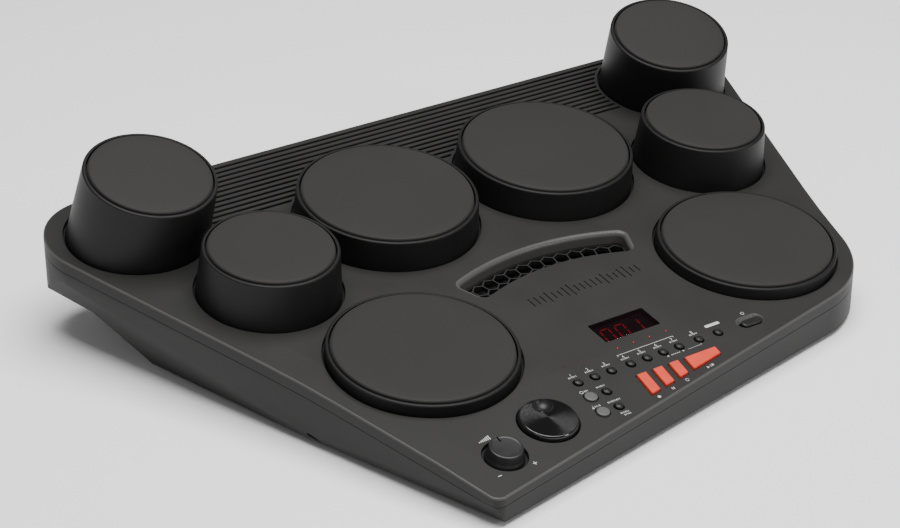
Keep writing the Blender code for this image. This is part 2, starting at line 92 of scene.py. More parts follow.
class Signal:  # a value on its way through a node tree: arithmetic on it adds Math nodes
    def __init__(self, board, socket):
        self.board = board
        self.socket = socket

    def __add__(self, other):
        return self.board.math("ADD", self, other)

    def __radd__(self, other):
        return self.board.math("ADD", other, self)

    def __sub__(self, other):
        return self.board.math("SUBTRACT", self, other)

    def __rsub__(self, other):
        return self.board.math("SUBTRACT", other, self)

    def __mul__(self, other):
        return self.board.math("MULTIPLY", self, other)


class Board:  # a node tree that nodes are added to
    def __init__(self, tree):
        self.tree = tree

    def add(self, kind, settings, inputs, output=0):
        node = self.tree.nodes.new(kind)
        for key, value in settings.items():
            setattr(node, key, value)
        for key, value in inputs.items():
            self.feed(node.inputs[key], value)
        return Signal(self, node.outputs[output])

    def math(self, operation, first, second=0.0):
        return self.add("ShaderNodeMath", {"operation": operation}, {0: first, 1: second})

    def feed(self, socket, value):
        if isinstance(value, Signal):
            self.tree.links.new(value.socket, socket)
        elif socket.type == "RGBA":
            socket.default_value = (*value[:3], 1.0)
        else:
            socket.default_value = value


class Finish(Board):  # one material, built round its Principled shader
    def __init__(self, name, colour, roughness, **fixed):
        self.material = bpy.data.materials.new(name)
        self.material.use_nodes = True
        self.material.diffuse_color = (*colour, 1.0)
        super().__init__(self.material.node_tree)
        self.shader = self.tree.nodes["Principled BSDF"]
        self.drive("Base Color", colour)
        self.drive("Roughness", roughness)
        for socket, value in fixed.items():
            self.drive(socket.replace("_", " "), value)
        self.place = self.add("ShaderNodeTexCoord", {}, {}, "Object")

    def drive(self, socket, value):
        self.feed(self.shader.inputs[socket], value)

    def noise(self, scale, detail=2.0, place=None):
        inputs = {"Vector": place or self.place, "Scale": scale, "Detail": detail}
        return self.add("ShaderNodeTexNoise", {}, inputs)

    def spread(self, signal, low, high):  # low..high becomes 0..1
        inputs = {"Value": signal, "From Min": low, "From Max": high}
        return self.add("ShaderNodeMapRange", {"clamp": True}, inputs)

    def blend(self, factor, first, second):
        return self.add("ShaderNodeMix", {"data_type": "RGBA"}, {0: factor, 6: first, 7: second}, 2)

    def relief(self, height, distance, strength=1.0):
        inputs = {"Height": height, "Distance": distance, "Strength": strength}
        self.drive("Normal", self.add("ShaderNodeBump", {}, inputs))


def scaled(colour, factor):
    return tuple(channel * factor for channel in colour)


def grainedPlastic(name, colour, roughness, grain=2400.0, depth=0.00004, drift=0.10):
    finish = Finish(name, colour, roughness, Specular_IOR_Level=0.20)
    pits = finish.noise(grain, 3.0)
    cloud = finish.spread(finish.noise(26.0, 3.0), 0.3, 0.7)  # slow change from the mould and from handling
    speck = finish.spread(finish.noise(grain * 0.45, 1.0), 0.35, 0.65)
    tone = finish.blend(cloud * 0.7 + speck * 0.3, scaled(colour, 1 - drift), scaled(colour, 1 + drift))
    finish.drive("Base Color", tone)
    finish.drive("Roughness", roughness - 0.05 + cloud * 0.06 + speck * 0.04)
    finish.relief(pits, depth, 0.55)
    return finish.material


def softRubber(name, colour, roughness):
    finish = Finish(name, colour, roughness, Specular_IOR_Level=0.22, Sheen_Weight=0.04, Sheen_Roughness=0.5)
    pores = finish.noise(3800.0, 2.0)
    wipe = finish.spread(finish.noise(15.0, 4.0), 0.35, 0.7)
    tone = finish.blend(wipe, scaled(colour, 0.93), scaled(colour, 1.07))
    finish.drive("Base Color", tone)
    finish.drive("Roughness", roughness - 0.04 + wipe * 0.08)
    finish.relief(pores, 0.00002, 0.5)
    return finish.material


def satinPlastic(name, colour, roughness, coat=0.0):
    finish = Finish(name, colour, roughness, Coat_Weight=coat, Coat_Roughness=0.1, Specular_IOR_Level=0.3)
    grain = finish.noise(5200.0, 2.0)
    tone = finish.spread(finish.noise(180.0, 2.0), 0.3, 0.7)
    finish.drive("Base Color", finish.blend(tone, scaled(colour, 0.95), scaled(colour, 1.05)))
    finish.drive("Roughness", roughness - 0.03 + tone * 0.06)
    finish.relief(grain, 0.00001, 0.4)
    return finish.material


def spunGloss(name, colour, roughness):  # light fans out from the middle, as on a finely turned face
    finish = Finish(name, colour, roughness, Anisotropic=0.97, Metallic=1.0)
    dust = finish.spread(finish.noise(700.0, 2.0), 0.45, 0.75)
    finish.drive("Roughness", roughness + dust * 0.04)
    return finish.material


def lampGlow(name, colour, strength):
    finish = Finish(name, scaled(colour, 0.4), 0.3, Emission_Strength=strength)
    flicker = finish.spread(finish.noise(900.0, 1.0), 0.2, 0.8)
    finish.drive("Emission Color", finish.blend(flicker, scaled(colour, 0.85), colour))
    return finish.material


def smokedPane(name, colour):
    finish = Finish(name, colour, 0.06, Alpha=0.45, Specular_IOR_Level=0.12)
    film = finish.spread(finish.noise(60.0, 2.0), 0.4, 0.8)
    finish.drive("Roughness", film * 0.05 + 0.05)
    finish.drive("Base Color", finish.blend(film, colour, scaled(colour, 1.3)))
    return finish.material


def sheetMetal(name, colour, roughness):
    finish = Finish(name, colour, roughness, Metallic=1.0)
    stretch = finish.add("ShaderNodeMapping", {}, {"Vector": finish.place, "Scale": (40.0, 2500.0, 2500.0)})
    lines = finish.noise(1.0, 3.0, stretch)
    finish.drive("Roughness", roughness - 0.08 + lines * 0.2)
    finish.drive("Base Color", finish.blend(lines, scaled(colour, 0.85), colour))
    finish.relief(lines, 0.00001, 0.4)
    return finish.material


def lacqueredBoard(name, colour):
    finish = Finish(name, colour, 0.35)
    settings = {"distance": "CHEBYCHEV", "feature": "DISTANCE_TO_EDGE"}
    tracks = finish.add("ShaderNodeTexVoronoi", settings, {"Vector": finish.place, "Scale": 260.0})
    copper = 1.0 - finish.spread(tracks, 0.05, 0.09)
    finish.drive("Base Color", finish.blend(copper, colour, (0.05, 0.20, 0.08)))
    finish.drive("Roughness", 0.45 - copper * 0.12)
    finish.relief(copper, 0.00004)
    return finish.material


def paperCone(name, colour):
    finish = Finish(name, colour, 0.85)
    fibre = finish.noise(1500.0, 4.0)
    finish.drive("Base Color", finish.blend(fibre, scaled(colour, 0.7), scaled(colour, 1.3)))
    finish.relief(fibre, 0.0001)
    return finish.material


def printedInk(name, colour):
    finish = Finish(name, colour, 0.55)
    patch = finish.spread(finish.noise(2600.0, 2.0), 0.3, 0.6)
    finish.drive("Base Color", finish.blend(patch, scaled(colour, 0.82), colour))
    return finish.material


print("shader helpers ready")


class Pattern(Board):  # a Geometry Nodes tree with named inputs, Material among them
    def __init__(self, name, inputs):
        super().__init__(bpy.data.node_groups.new(name, "GeometryNodeTree"))
        self.ids = {}
        sockets = self.tree.interface
        for label, kind in {**inputs, "Material": "NodeSocketMaterial"}.items():
            self.ids[label] = sockets.new_socket(label, in_out="INPUT", socket_type=kind).identifier
        sockets.new_socket("Geometry", in_out="OUTPUT", socket_type="NodeSocketGeometry")
        self.start = self.tree.nodes.new("NodeGroupInput")

    def input(self, label):
        return Signal(self, self.start.outputs[label])

    def close(self, geometry):
        real = self.add("GeometryNodeRealizeInstances", {}, {"Geometry": geometry})
        inputs = {"Geometry": real, "Material": self.input("Material")}
        painted = self.add("GeometryNodeSetMaterial", {}, inputs)
        end = self.tree.nodes.new("NodeGroupOutput")
        self.feed(end.inputs[0], painted)

    def grow(self, name, **values):
        obj = bpy.data.objects.new(name, bpy.data.meshes.new(name))
        bpy.context.scene.collection.objects.link(obj)
        modifier = obj.modifiers.new("pattern", "NODES")
        modifier.node_group = self.tree
        for label, value in values.items():
            modifier[self.ids[label]] = value
        return bake(obj)


def rowPattern():  # copies of one piece at equal steps, the first where the piece itself is
    kinds = {"Piece": "NodeSocketObject", "Count": "NodeSocketInt", "Step": "NodeSocketVector"}
    row = Pattern("evenRow", kinds)
    counts = {"Count": row.input("Count"), "Offset": row.input("Step")}
    line = row.add("GeometryNodeMeshLine", {"mode": "OFFSET"}, counts)
    piece = row.add("GeometryNodeObjectInfo", {}, {"Object": row.input("Piece")}, "Geometry")
    row.close(row.add("GeometryNodeInstanceOnPoints", {}, {"Points": line, "Instance": piece}))
    return row


def honeycombPattern():  # six-sided prisms whose flats face each other across thin walls
    kinds = {"Cell": "NodeSocketFloat", "Wall": "NodeSocketFloat", "Depth": "NodeSocketFloat"}
    comb = Pattern("honeycomb", {**kinds, "Columns": "NodeSocketInt", "Rows": "NodeSocketInt"})
    cell = comb.input("Cell")
    columns = comb.input("Columns")
    rows = comb.input("Rows")
    sizes = {"Size X": (columns - 1.0) * cell, "Size Y": (rows - 1.0) * cell * (math.sqrt(3) / 2)}
    grid = comb.add("GeometryNodeMeshGrid", {}, {**sizes, "Vertices X": columns, "Vertices Y": rows})
    index = comb.add("GeometryNodeInputIndex", {}, {})
    odd = comb.math("MODULO", comb.math("MODULO", index, rows), 2.0)
    shift = comb.add("ShaderNodeCombineXYZ", {}, {"X": odd * cell * 0.5})
    staggered = comb.add("GeometryNodeSetPosition", {}, {"Geometry": grid, "Offset": shift})
    radius = (cell - comb.input("Wall")) * (1 / math.sqrt(3))
    sides = {"Vertices": 6, "Radius": radius, "Depth": comb.input("Depth")}
    prism = comb.add("GeometryNodeMeshCylinder", {}, sides)
    inputs = {"Points": staggered, "Instance": prism, "Rotation": (0.0, 0.0, math.radians(30))}
    comb.close(comb.add("GeometryNodeInstanceOnPoints", {}, inputs))
    return comb


charcoal = (0.0200, 0.0194, 0.0187)
finishes = {
    "case": grainedPlastic("charcoalCasePlastic", charcoal, 0.52),
    # edge plastic, much lighter than the case: a painted highlight on the rounded ridges, the port's wall and
    # lip and the power button's dish; its lower roughness is real
    "caseEdgeHighlight": grainedPlastic("charcoalPolishedEdge", (0.066, 0.063, 0.060), 0.32, 2400.0, 0.00001, 0.06),
    "inner": grainedPlastic("blackInnerPlastic", (0.008, 0.008, 0.008), 0.6),
    # tower plastic, darker than the case: partly its own plastic, partly painted shade for the dimness that
    # falls on the towers between the pads
    "tower": grainedPlastic("towerPlastic", (0.0085, 0.0081, 0.0078), 0.48, grain=2800.0, depth=0.00003),
    "rubber": softRubber("padRubber", (0.0180, 0.0168, 0.0161), 0.66),
    "orange": satinPlastic("coralPlastic", (0.62, 0.052, 0.026), 0.48),
    "grey": satinPlastic("greyPlastic", (0.080, 0.080, 0.078), 0.45),
    "button": satinPlastic("satinBlackPlastic", (0.010, 0.010, 0.010), 0.36),
    "knob": satinPlastic("knobBlackPlastic", (0.014, 0.014, 0.014), 0.36),
    "gloss": satinPlastic("polishedBlackPlastic", (0.008, 0.008, 0.008), 0.10, coat=0.6),
    "spun": spunGloss("spunBlackDial", (0.065, 0.065, 0.065), 0.17),
    "pane": smokedPane("smokedPane", (0.005, 0.001, 0.002)),
    "lit": lampGlow("litRed", (0.85, 0.006, 0.022), 0.40),
    "dim": lampGlow("dimRed", (0.12, 0.010, 0.010), 0.3),
    "board": lacqueredBoard("greenBoardLacquer", (0.020, 0.110, 0.050)),
    "steel": sheetMetal("sensorPlateSteel", (0.60, 0.60, 0.58), 0.38),
    "nickel": sheetMetal("socketNickel", (0.70, 0.68, 0.64), 0.25),
    "cone": paperCone("speakerPaper", (0.030, 0.030, 0.032)),
    "foot": softRubber("footRubber", (0.018, 0.018, 0.018), 0.85),
    "ink": printedInk("whiteInk", (0.50, 0.50, 0.49)),
}


# Planes that the pieces stand on

def deckZ(y):
    return caseSizes["deckZ"] + math.tan(caseSizes["deckSlope"]) * y


def panelZ(y):
    return deckZ(caseSizes["creaseY"]) + math.tan(caseSizes["panelSlope"]) * (y - caseSizes["creaseY"])


def onDeck(x, y):
    return Matrix.Translation((x, y, deckZ(y))) @ Matrix.Rotation(caseSizes["deckSlope"], 4, "X")


def onPanel(x, y):
    return Matrix.Translation((x, y, panelZ(y))) @ Matrix.Rotation(caseSizes["panelSlope"], 4, "X")


deckUp = Vector((0, -math.sin(caseSizes["deckSlope"]), math.cos(caseSizes["deckSlope"])))
panelUp = Vector((0, -math.sin(caseSizes["panelSlope"]), math.cos(caseSizes["panelSlope"])))


# Mesh helpers

def skin(bm, rings, loop=False, material=0):  # quads between rings of equal count, ends capped or joined
    rows = [[bm.verts.new(point) for point in ring] for ring in rings]
    count = len(rows[0])
    pairs = list(zip(rows, rows[1:]))
    if loop:
        pairs.append((rows[-1], rows[0]))
    faces = []
    for lower, upper in pairs:
        for i in range(count):
            j = (i + 1) % count
            faces.append(bm.faces.new((lower[i], lower[j], upper[j], upper[i])))
    if not loop:
        faces.append(bm.faces.new(rows[0][::-1]))
        faces.append(bm.faces.new(rows[-1]))
    for face in faces:
        face.material_index = material


def circle(radius, z, segments, matrix=None, centre=(0.0, 0.0)):
    ring = []
    for i in range(segments):
        angle = math.tau * i / segments
        point = Vector((centre[0] + radius * math.cos(angle), centre[1] + radius * math.sin(angle), z))
        ring.append(matrix @ point if matrix else point)
    return ring


def makeObject(name, bm, materials=(), sharp=math.radians(32)):
    bmesh.ops.recalc_face_normals(bm, faces=bm.faces)
    mesh = bpy.data.meshes.new(name)
    bm.to_mesh(mesh)
    bm.free()
    mesh.shade_smooth()
    mesh.set_sharp_from_angle(angle=sharp)
    obj = bpy.data.objects.new(name, mesh)
    bpy.context.scene.collection.objects.link(obj)
    for material in materials:
        mesh.materials.append(finishes[material])
    return obj


def bake(obj):  # turns the modifiers' result into the object's own plain mesh
    bpy.context.view_layer.update()
    graph = bpy.context.evaluated_depsgraph_get()
    result = obj.evaluated_get(graph)
    mesh = bpy.data.meshes.new_from_object(result, preserve_all_data_layers=True, depsgraph=graph)
    obj.modifiers.clear()
    obj.data = mesh
    return obj


def discard(*objs):
    for obj in objs:
        bpy.data.objects.remove(obj, do_unlink=True)


def carve(obj, tool, operation="DIFFERENCE", keepTool=False):
    modifier = obj.modifiers.new("carve", "BOOLEAN")
    modifier.operation = operation
    modifier.object = tool
    bake(obj)
    if not keepTool:
        discard(tool)


def evenShading(obj, sharp=math.radians(32)):  # flat faces keep flat shading beside their rounded edges
    mesh = obj.data
    mesh.shade_smooth()
    mesh.set_sharp_from_angle(angle=sharp)
    modifier = obj.modifiers.new("even", "WEIGHTED_NORMAL")
    modifier.keep_sharp = True
    modifier.weight = 100
    return bake(obj)


def finishPiece(obj, body, slot, *nodes):
    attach(obj, body)
    if nodes:
        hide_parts(*nodes)
    return obj


def turned(bm, profile, matrix, segments=48, radius=0.0, material=0):  # profile is (growth of radius, z)
    skin(bm, [circle(radius + growth, z, segments, matrix) for growth, z in profile], material=material)


def boxed(bm, size, corner, steps, matrix, centre=(0.0, 0.0), material=0):  # steps are (growth, z)
    rings = [lifted(boxOutline(*size, corner, centre, grow), z, matrix) for grow, z in steps]
    skin(bm, rings, material=material)


def roundOver(radius, z, fillet, steps=4):  # profile points from a flat top over its rounded rim
    points = []
    for k in range(steps + 1):
        angle = math.pi / 2 * k / steps
        points.append((radius - fillet + fillet * math.sin(angle), z - fillet + fillet * math.cos(angle)))
    return points


def flare(lip, depth, steps=3):  # (growth, height) of a hole's cutter whose rim is rounded by lip
    rings = [(0.0, -depth)]
    for k in range(steps + 1):
        angle = math.pi / 2 * k / steps
        rings.append((lip - lip * math.cos(angle), -lip + (lip + 0.00003) * math.sin(angle)))
    rings.append((lip, 0.004))
    return rings


# Outlines

def unit(start, end):
    return (Vector(end[:2]) - Vector(start[:2])).normalized()


def insetCorners(corners, inset):  # an anticlockwise outline of (x, y, radius), moved inwards
    moved = []
    for i, (x, y, radius) in enumerate(corners):
        before = unit(corners[i - 1], corners[i])
        after = unit(corners[i], corners[(i + 1) % len(corners)])
        normals = Vector((-before.y, before.x)), Vector((-after.y, after.x))
        shift = (normals[0] + normals[1]) * (inset / (1 + normals[0].dot(normals[1])))
        inwards = math.copysign(inset, before.cross(after))
        moved.append((x + shift.x, y + shift.y, max(radius - inwards, 0.0002) if radius else 0.0))
    return moved


def rounded(corners, step=caseSizes["outlineStep"]):  # points of the outline, an arc at each radius
    points = []
    for i, corner in enumerate(corners):
        here = Vector(corner[:2])
        back = unit(corner, corners[i - 1])
        ahead = unit(corner, corners[(i + 1) % len(corners)])
        half = back.angle(ahead) / 2
        radius = corner[2]
        if radius == 0.0:
            points.append(here)
            continue
        centre = here + (back + ahead).normalized() * (radius / math.sin(half))
        start = here + back * (radius / math.tan(half)) - centre
        sweep = math.copysign(math.pi - 2 * half, ahead.cross(back))
        count = max(2, math.ceil(abs(sweep) / step))
        for k in range(count + 1):
            points.append(centre + Matrix.Rotation(sweep * k / count, 2) @ start)
    return points


def boxOutline(width, depth, radius, centre=(0.0, 0.0), grow=0.0):  # a rounded rectangle
    halfX = width / 2 + grow
    halfY = depth / 2 + grow
    corners = []
    for sx, sy in ((-1, -1), (1, -1), (1, 1), (-1, 1)):
        corners.append((centre[0] + sx * halfX, centre[1] + sy * halfY, max(radius + grow, 0.0001)))
    return rounded(corners, math.radians(15))


def lifted(outline, z, matrix):  # a flat outline as a ring at one height in a frame
    return [matrix @ Vector((point[0], point[1], z)) for point in outline]


def caseCorners():
    s = caseSizes
    waistFront = s["halfWidth"] - s["sideRunFront"] * s["waistY"]
    leftY = (s["frontEdgeY"] - s["frontEdgeRun"] * waistFront) / (1 + s["frontEdgeRun"] * s["sideRunFront"])
    rightY = (s["frontEdgeY"] + s["frontEdgeRun"] * waistFront) / (1 - s["frontEdgeRun"] * s["sideRunFront"])
    backX = s["halfWidth"] + s["sideRunBack"] * (s["backY"] - s["waistY"])
    return [
        (-(waistFront + s["sideRunFront"] * leftY), leftY, s["frontLeftRadius"]),
        (waistFront + s["sideRunFront"] * rightY, rightY, s["frontRightRadius"]),
        (s["halfWidth"], s["waistY"], s["waistRadius"]),
        (backX, s["backY"], s["backRadius"]),
        (-backX, s["backY"], s["backRadius"]),
        (-s["halfWidth"], s["waistY"], s["waistRadius"]),
    ]


# Case halves

def keepBelow(bm, point, normal):  # cuts the closed body flat and drops what lies on the normal's side
    everything = bm.verts[:] + bm.edges[:] + bm.faces[:]
    bmesh.ops.bisect_plane(bm, geom=everything, plane_co=point, plane_no=normal, clear_outer=True)
    bmesh.ops.holes_fill(bm, edges=[edge for edge in bm.edges if edge.is_boundary])


def flatFaces():  # (a point, the outward normal) of each flat that bounds the case above and below
    s = caseSizes
    crease = Vector((0, s["creaseY"], panelZ(s["creaseY"])))
    planes = [
        (Vector((0, 0, s["deckZ"])), deckUp),
        (crease, panelUp),
        (Vector((0, 0, s["baseZ"])), Vector((0, 0, -1))),
    ]
    for side in (-1, 1):
        bandEdge = Vector((side * (s["halfWidth"] - s["bandWidth"]), s["waistY"], deckZ(s["waistY"])))
        along = Vector((side * s["sideRunBack"], 1, math.tan(s["deckSlope"]))).normalized()
        outwards = along.cross(deckUp) * side
        planes.append((bandEdge, (deckUp + outwards * (s["bandDrop"] / s["bandWidth"])).normalized()))
        lean = math.cos(s["bellyTilt"])
        for (x, y, z), bearing in s["bellies"]:
            outX, outY = side * lean * math.cos(bearing), -lean * math.sin(bearing)
            planes.append((Vector((side * x, y, z)), Vector((outX, outY, -math.sin(s["bellyTilt"])))))
    return planes


def caseBody(inset):
    bm = bmesh.new()
    outline = rounded(insetCorners(caseCorners(), inset))
    skin(bm, [[Vector((*point, z)) for point in outline] for z in (-0.05, 0.20)])
    bmesh.ops.recalc_face_normals(bm, faces=bm.faces)
    for point, normal in flatFaces():
        keepBelow(bm, point - normal * inset, normal)
    return bm


def soften(bm, flatNormal, radius, segments, material=0):
    # rounds the edges where the side walls meet faces that look along flatNormal
    bm.normal_update()
    edges = []
    for edge in bm.edges:
        tilts = sorted(face.normal.dot(flatNormal) for face in edge.link_faces)
        if len(tilts) == 2 and tilts[1] > 0.97 and tilts[0] < 0.6:
            edges.append(edge)
    bmesh.ops.bevel(
        bm, geom=edges, offset=radius, segments=segments, profile=0.5, affect="EDGES",
        clamp_overlap=True, material=material,
    )


def seamPlane(lift):
    return Vector((0, 0, caseSizes["deckZ"] - caseSizes["seamDrop"] + lift)), deckUp


padShapes = {  # the rim's and the base's places on the right, groove radius, forward and inward tilt
    "Tall": {
        "rim": (0.2320, 0.1357, 0.1248), "groove": 0.0442, "tilts": (16.5, 3.7),
        "base": (0.2380, 0.1499), "baseRadius": 0.0512,
    },
    "Side": {
        "rim": (0.1910, 0.0443, 0.0945), "groove": 0.0443, "tilts": (8.4, 0.3),
        "base": (0.1914, 0.0484), "baseRadius": 0.0513,
    },
    "Centre": {
        "rim": (0.0708, 0.0834, 0.0883), "groove": 0.0629, "tilts": (8.7, 0.3),
        "base": (0.0705, 0.0857), "baseRadius": 0.0680,
    },
    "Front": {
        "rim": (0.1415, -0.0656, 0.0523), "groove": 0.0624, "tilts": (7.5, 0.3),
        "base": (0.1409, -0.0646), "baseRadius": 0.0666,
    },
}
padSizes = {
    "clearance": 0.0007,
    "rim": 0.003,
    "rimFillet": 0.0013,
    "pocket": 0.005,
    "ledge": 0.008,
    "wall": 0.0025,
    "crown": 0.0018,
    "segments": 112,
}
cutterDepth = 0.004  # a cutter's reach below the surface that it opens
controlSizes = {
    "rowPitch": 0.0158,
    "rowY": -0.1368,
    "smallPitch": 0.014,
    "smallGroups": ((-0.0668, 3), (-0.0224, 4), (0.0370, 1), (0.0540, 1)),  # first x and how many
    "smallRadius": 0.0033,
    "greyRadius": 0.0048,
    "columnLean": 0.14,
    "clickX": -0.0530,
    "greyX": -0.0662,
    "orangeLefts": ((-0.0276, 0.0080), (-0.0139, 0.0080), (-0.0001, 0.0080), (0.0136, 0.0270)),
    "orangeBackY": -0.1489,
    "orangeFrontY": -0.1640,
    "orangeCorner": 0.0009,
    "gap": 0.0004,
    "shy": 0.0003,  # how far a round cap stays inside its full radius
    "travelFoot": 0.0012 - 0.0080,  # underside of a button, clear of the board by its travel
    "lip": 0.0003,
    "knobAt": (-0.1531, -0.1737),
    "knobRadius": 0.0117,
    "knobProfile": (  # growth of the radius and height, from the top down
        (-0.0030, 0.0068), (-0.0022, 0.0070), (-0.0018, 0.0072), (-0.0014, 0.0072), (-0.0008, 0.0069),
        (-0.0005, 0.0064), (0.0, 0.0020), (0.0008, 0.0002), (0.0015, -0.0012), (0.0016, -0.0026),
    ),
    "recessRadius": 0.015,
    "recessDepth": 0.003,
    "dialAt": (-0.1085, -0.1596),
    "dialRadius": 0.0205,
    "dialHeight": 0.0036,
    "dimpleAt": (0.0033, 0.0114),  # from the middle of the dial
    "dimpleBall": 0.0073,
    "cupDepth": 0.0036,
    "shaftHole": 0.0035,
    "powerAt": (0.0832, -0.1380),
    "powerSize": (0.0168, 0.0066),
}
windowSizes = {"at": (0.0012, -0.0997), "size": (0.0465, 0.0207), "corner": 0.0008}
lampSizes = {
    "y": -0.1186,
    "xs": (-0.0649, -0.0504, -0.0367, -0.0194, -0.0056, 0.0083, 0.0227),
    "radius": 0.00055,
    "gap": 0.0002,
    "profile": ((-0.00035, 0.00005), (0.00005, -0.00005), (-0.0001, -0.0003), (0.0, -0.0006), (0.0, -0.0030)),
}
portSizes = {
    "centreY": -0.1926,
    "radii": (0.1750, 0.1990),
    "halfAngle": math.radians(21.5),
    "corner": 0.0045,
    "lip": 0.0034,
    "frontLip": 0.0006,
    "bossDepth": 0.0088,
    "floorDepth": 0.0096,
    "linerDepth": 0.0130,
    "linerTop": 0.0091,
    "flange": 0.0013,
    "cell": 0.0107,
    "cellWall": 0.0009,
    "columns": 15,
    "rows": 4,
}
slotSizes = {
    "count": 12,
    "firstY": 0.1374,
    "pitch": 0.00567,
    "width": 0.0024,
    "depth": 0.0045,
    "halfLength": 0.222,
    "lip": 0.0003,
    "margin": 0.0030,  # from a pad's foot to the end of a slot
}
motifSizes = {
    "count": 20,
    "from": (-0.0400, -0.0490),
    "pitch": 0.0049,
    "width": 0.0011,
    "depth": 0.0007,
    "least": 0.0062,
    "swing": 0.0088,
}


def baseFrame(shape, side):  # the foot of a pad on the deck
    return onDeck(side * shape["base"][0], shape["base"][1])


def roundButtons():  # name, x, y, radius, finish and CAD node of each round button
    s = controlSizes
    buttons = []
    for first, count in s["smallGroups"]:
        for k in range(count):
            number = len(buttons) + 1
            x = first + k * s["smallPitch"]
            node = f"function_button_{number}"
            buttons.append((f"functionButton{number}", x, s["rowY"], s["smallRadius"], "button", node))
    rows = (("click", "kit"), ("tempo", "song"))
    for row, (small, grey) in enumerate(rows, 1):
        y = s["rowY"] - row * s["rowPitch"]
        shift = -s["columnLean"] * row * s["rowPitch"]
        for kind, x, radius, finish in (
            (small, s["clickX"], s["smallRadius"], "button"),
            (grey, s["greyX"], s["greyRadius"], "grey"),
        ):
            buttons.append((f"{kind}Button", x + shift, y, radius, finish, f"{kind}_button"))
    return buttons


def orangeOutline(left, width, grow):  # its front edge follows the front edge of the case
    s = controlSizes
    corners = []
    for x, atFront in ((left, True), (left + width, True), (left + width, False), (left, False)):
        y = s["orangeFrontY"] + caseSizes["frontEdgeRun"] * x if atFront else s["orangeBackY"]
        corners.append((x + s["columnLean"] * (y - s["orangeBackY"]), y, s["orangeCorner"]))
    return rounded(insetCorners(corners, -grow), math.radians(22))


def orangeRings(left, width, steps):
    rings = []
    for grow, height in steps:
        outline = orangeOutline(left, width, grow)
        rings.append([Vector((x, y, panelZ(y))) + panelUp * height for x, y in outline])
    return rings


def portOutline(grow, frontGrow=None, between=26):  # a rounded band bent round the port's centre
    s = portSizes
    middle = sum(s["radii"]) / 2
    low = s["radii"][0] - middle - (grow if frontGrow is None else frontGrow)
    high = s["radii"][1] - middle + grow
    half = s["halfAngle"] * middle + grow
    corner = s["corner"] + grow
    corners = [(-half, low, corner), (half, low, corner), (half, high, corner), (-half, high, corner)]
    flat = rounded(corners, math.radians(15))
    quarter = len(flat) // 4
    points = []
    for i, start in enumerate(flat):
        points.append(start)
        if i in (quarter - 1, 3 * quarter - 1):  # a long side, which needs points of its own to bend
            end = flat[(i + 1) % len(flat)]
            points += [start.lerp(end, k / between) for k in range(1, between)]
    return [bentRound(point) for point in points]


def bentRound(point):
    middle = sum(portSizes["radii"]) / 2
    angle = point[0] / middle
    reach = middle + point[1]
    return Vector((reach * math.sin(angle), portSizes["centreY"] + reach * math.cos(angle)))


def overDeck(outline, z):
    return [Vector((point[0], point[1], deckZ(point[1]) + z)) for point in outline]


def holeCutters():  # every opening of the upper case but its slots
    s = controlSizes
    bm = bmesh.new()
    for shape in padShapes.values():
        for side in (-1, 1):
            radius = shape["baseRadius"] + padSizes["clearance"]
            turned(bm, flare(0.0005, 0.006), baseFrame(shape, side), 96, radius)
    for _, x, y, radius, _, _ in roundButtons():
        turned(bm, flare(s["lip"], cutterDepth), onPanel(x, y), 40, radius + s["gap"])
    for left, width in s["orangeLefts"]:
        skin(bm, orangeRings(left, width, [(s["gap"] + grow, z) for grow, z in flare(s["lip"], cutterDepth)]))
    for at, radius, depth in (
        (s["knobAt"], s["recessRadius"], s["recessDepth"]),
        (s["dialAt"], s["dialRadius"] + s["gap"], s["cupDepth"]),
    ):
        turned(bm, flare(0.0005, depth), onPanel(*at), 96, radius, material=2)
    steps = [(caseSizes["gap"] + grow, z) for grow, z in flare(0.0003, cutterDepth)]
    boxed(bm, windowSizes["size"], windowSizes["corner"], steps, onDeck(*windowSizes["at"]))
    s = portSizes
    rings = [overDeck(portOutline(0.0, 0.0), -0.011)]
    for k in range(6):
        turn = math.radians(18 * k)
        grow = s["lip"] * (1 - math.cos(turn))
        front = s["frontLip"] * (1 - math.cos(turn))
        rings.append(overDeck(portOutline(grow, front), s["lip"] * (math.sin(turn) - 1) + 0.00003))
    rings.append(overDeck(portOutline(s["lip"], s["frontLip"]), cutterDepth))
    # the port's wall and rounded lip take slot 1, the lighter edge plastic: a painted highlight along the lip
    skin(bm, rings, material=1)
    for x in lampSizes["xs"]:
        radius = lampSizes["radius"] + lampSizes["gap"]
        turned(bm, flare(lampSizes["gap"], cutterDepth), onDeck(x, lampSizes["y"]), 20, radius)
    return makeObject("holeCutters", bm)


def powerCutters():  # a dished slot round the power button, sloping up at its back, and the button's own hole
    s = controlSizes
    corner = s["powerSize"][1] / 2 - 0.0001
    bm = bmesh.new()
    rings = []
    for grow, shift, z in (
        (0.0008, 0.0, -0.0030), (0.0009, 0.0001, -0.0027), (0.0021, 0.0013, -0.0006),
        (0.0024, 0.0016, -0.0001), (0.0028, 0.0018, 0.00003), (0.0028, 0.0018, 0.003),
    ):
        outline = boxOutline(*s["powerSize"], corner, (0.0, shift), grow)
        rings.append(lifted(outline, z, onPanel(*s["powerAt"])))
    # the whole dish takes slot 1 of the upper case, the lighter edge plastic: a painted highlight round the
    # power button
    skin(bm, rings, material=1)
    dish = makeObject("powerDish", bm)
    bm = bmesh.new()
    boxed(bm, s["powerSize"], corner, ((s["gap"], -0.005), (s["gap"], 0.001)), onPanel(*s["powerAt"]))
    return dish, makeObject("powerHole", bm)


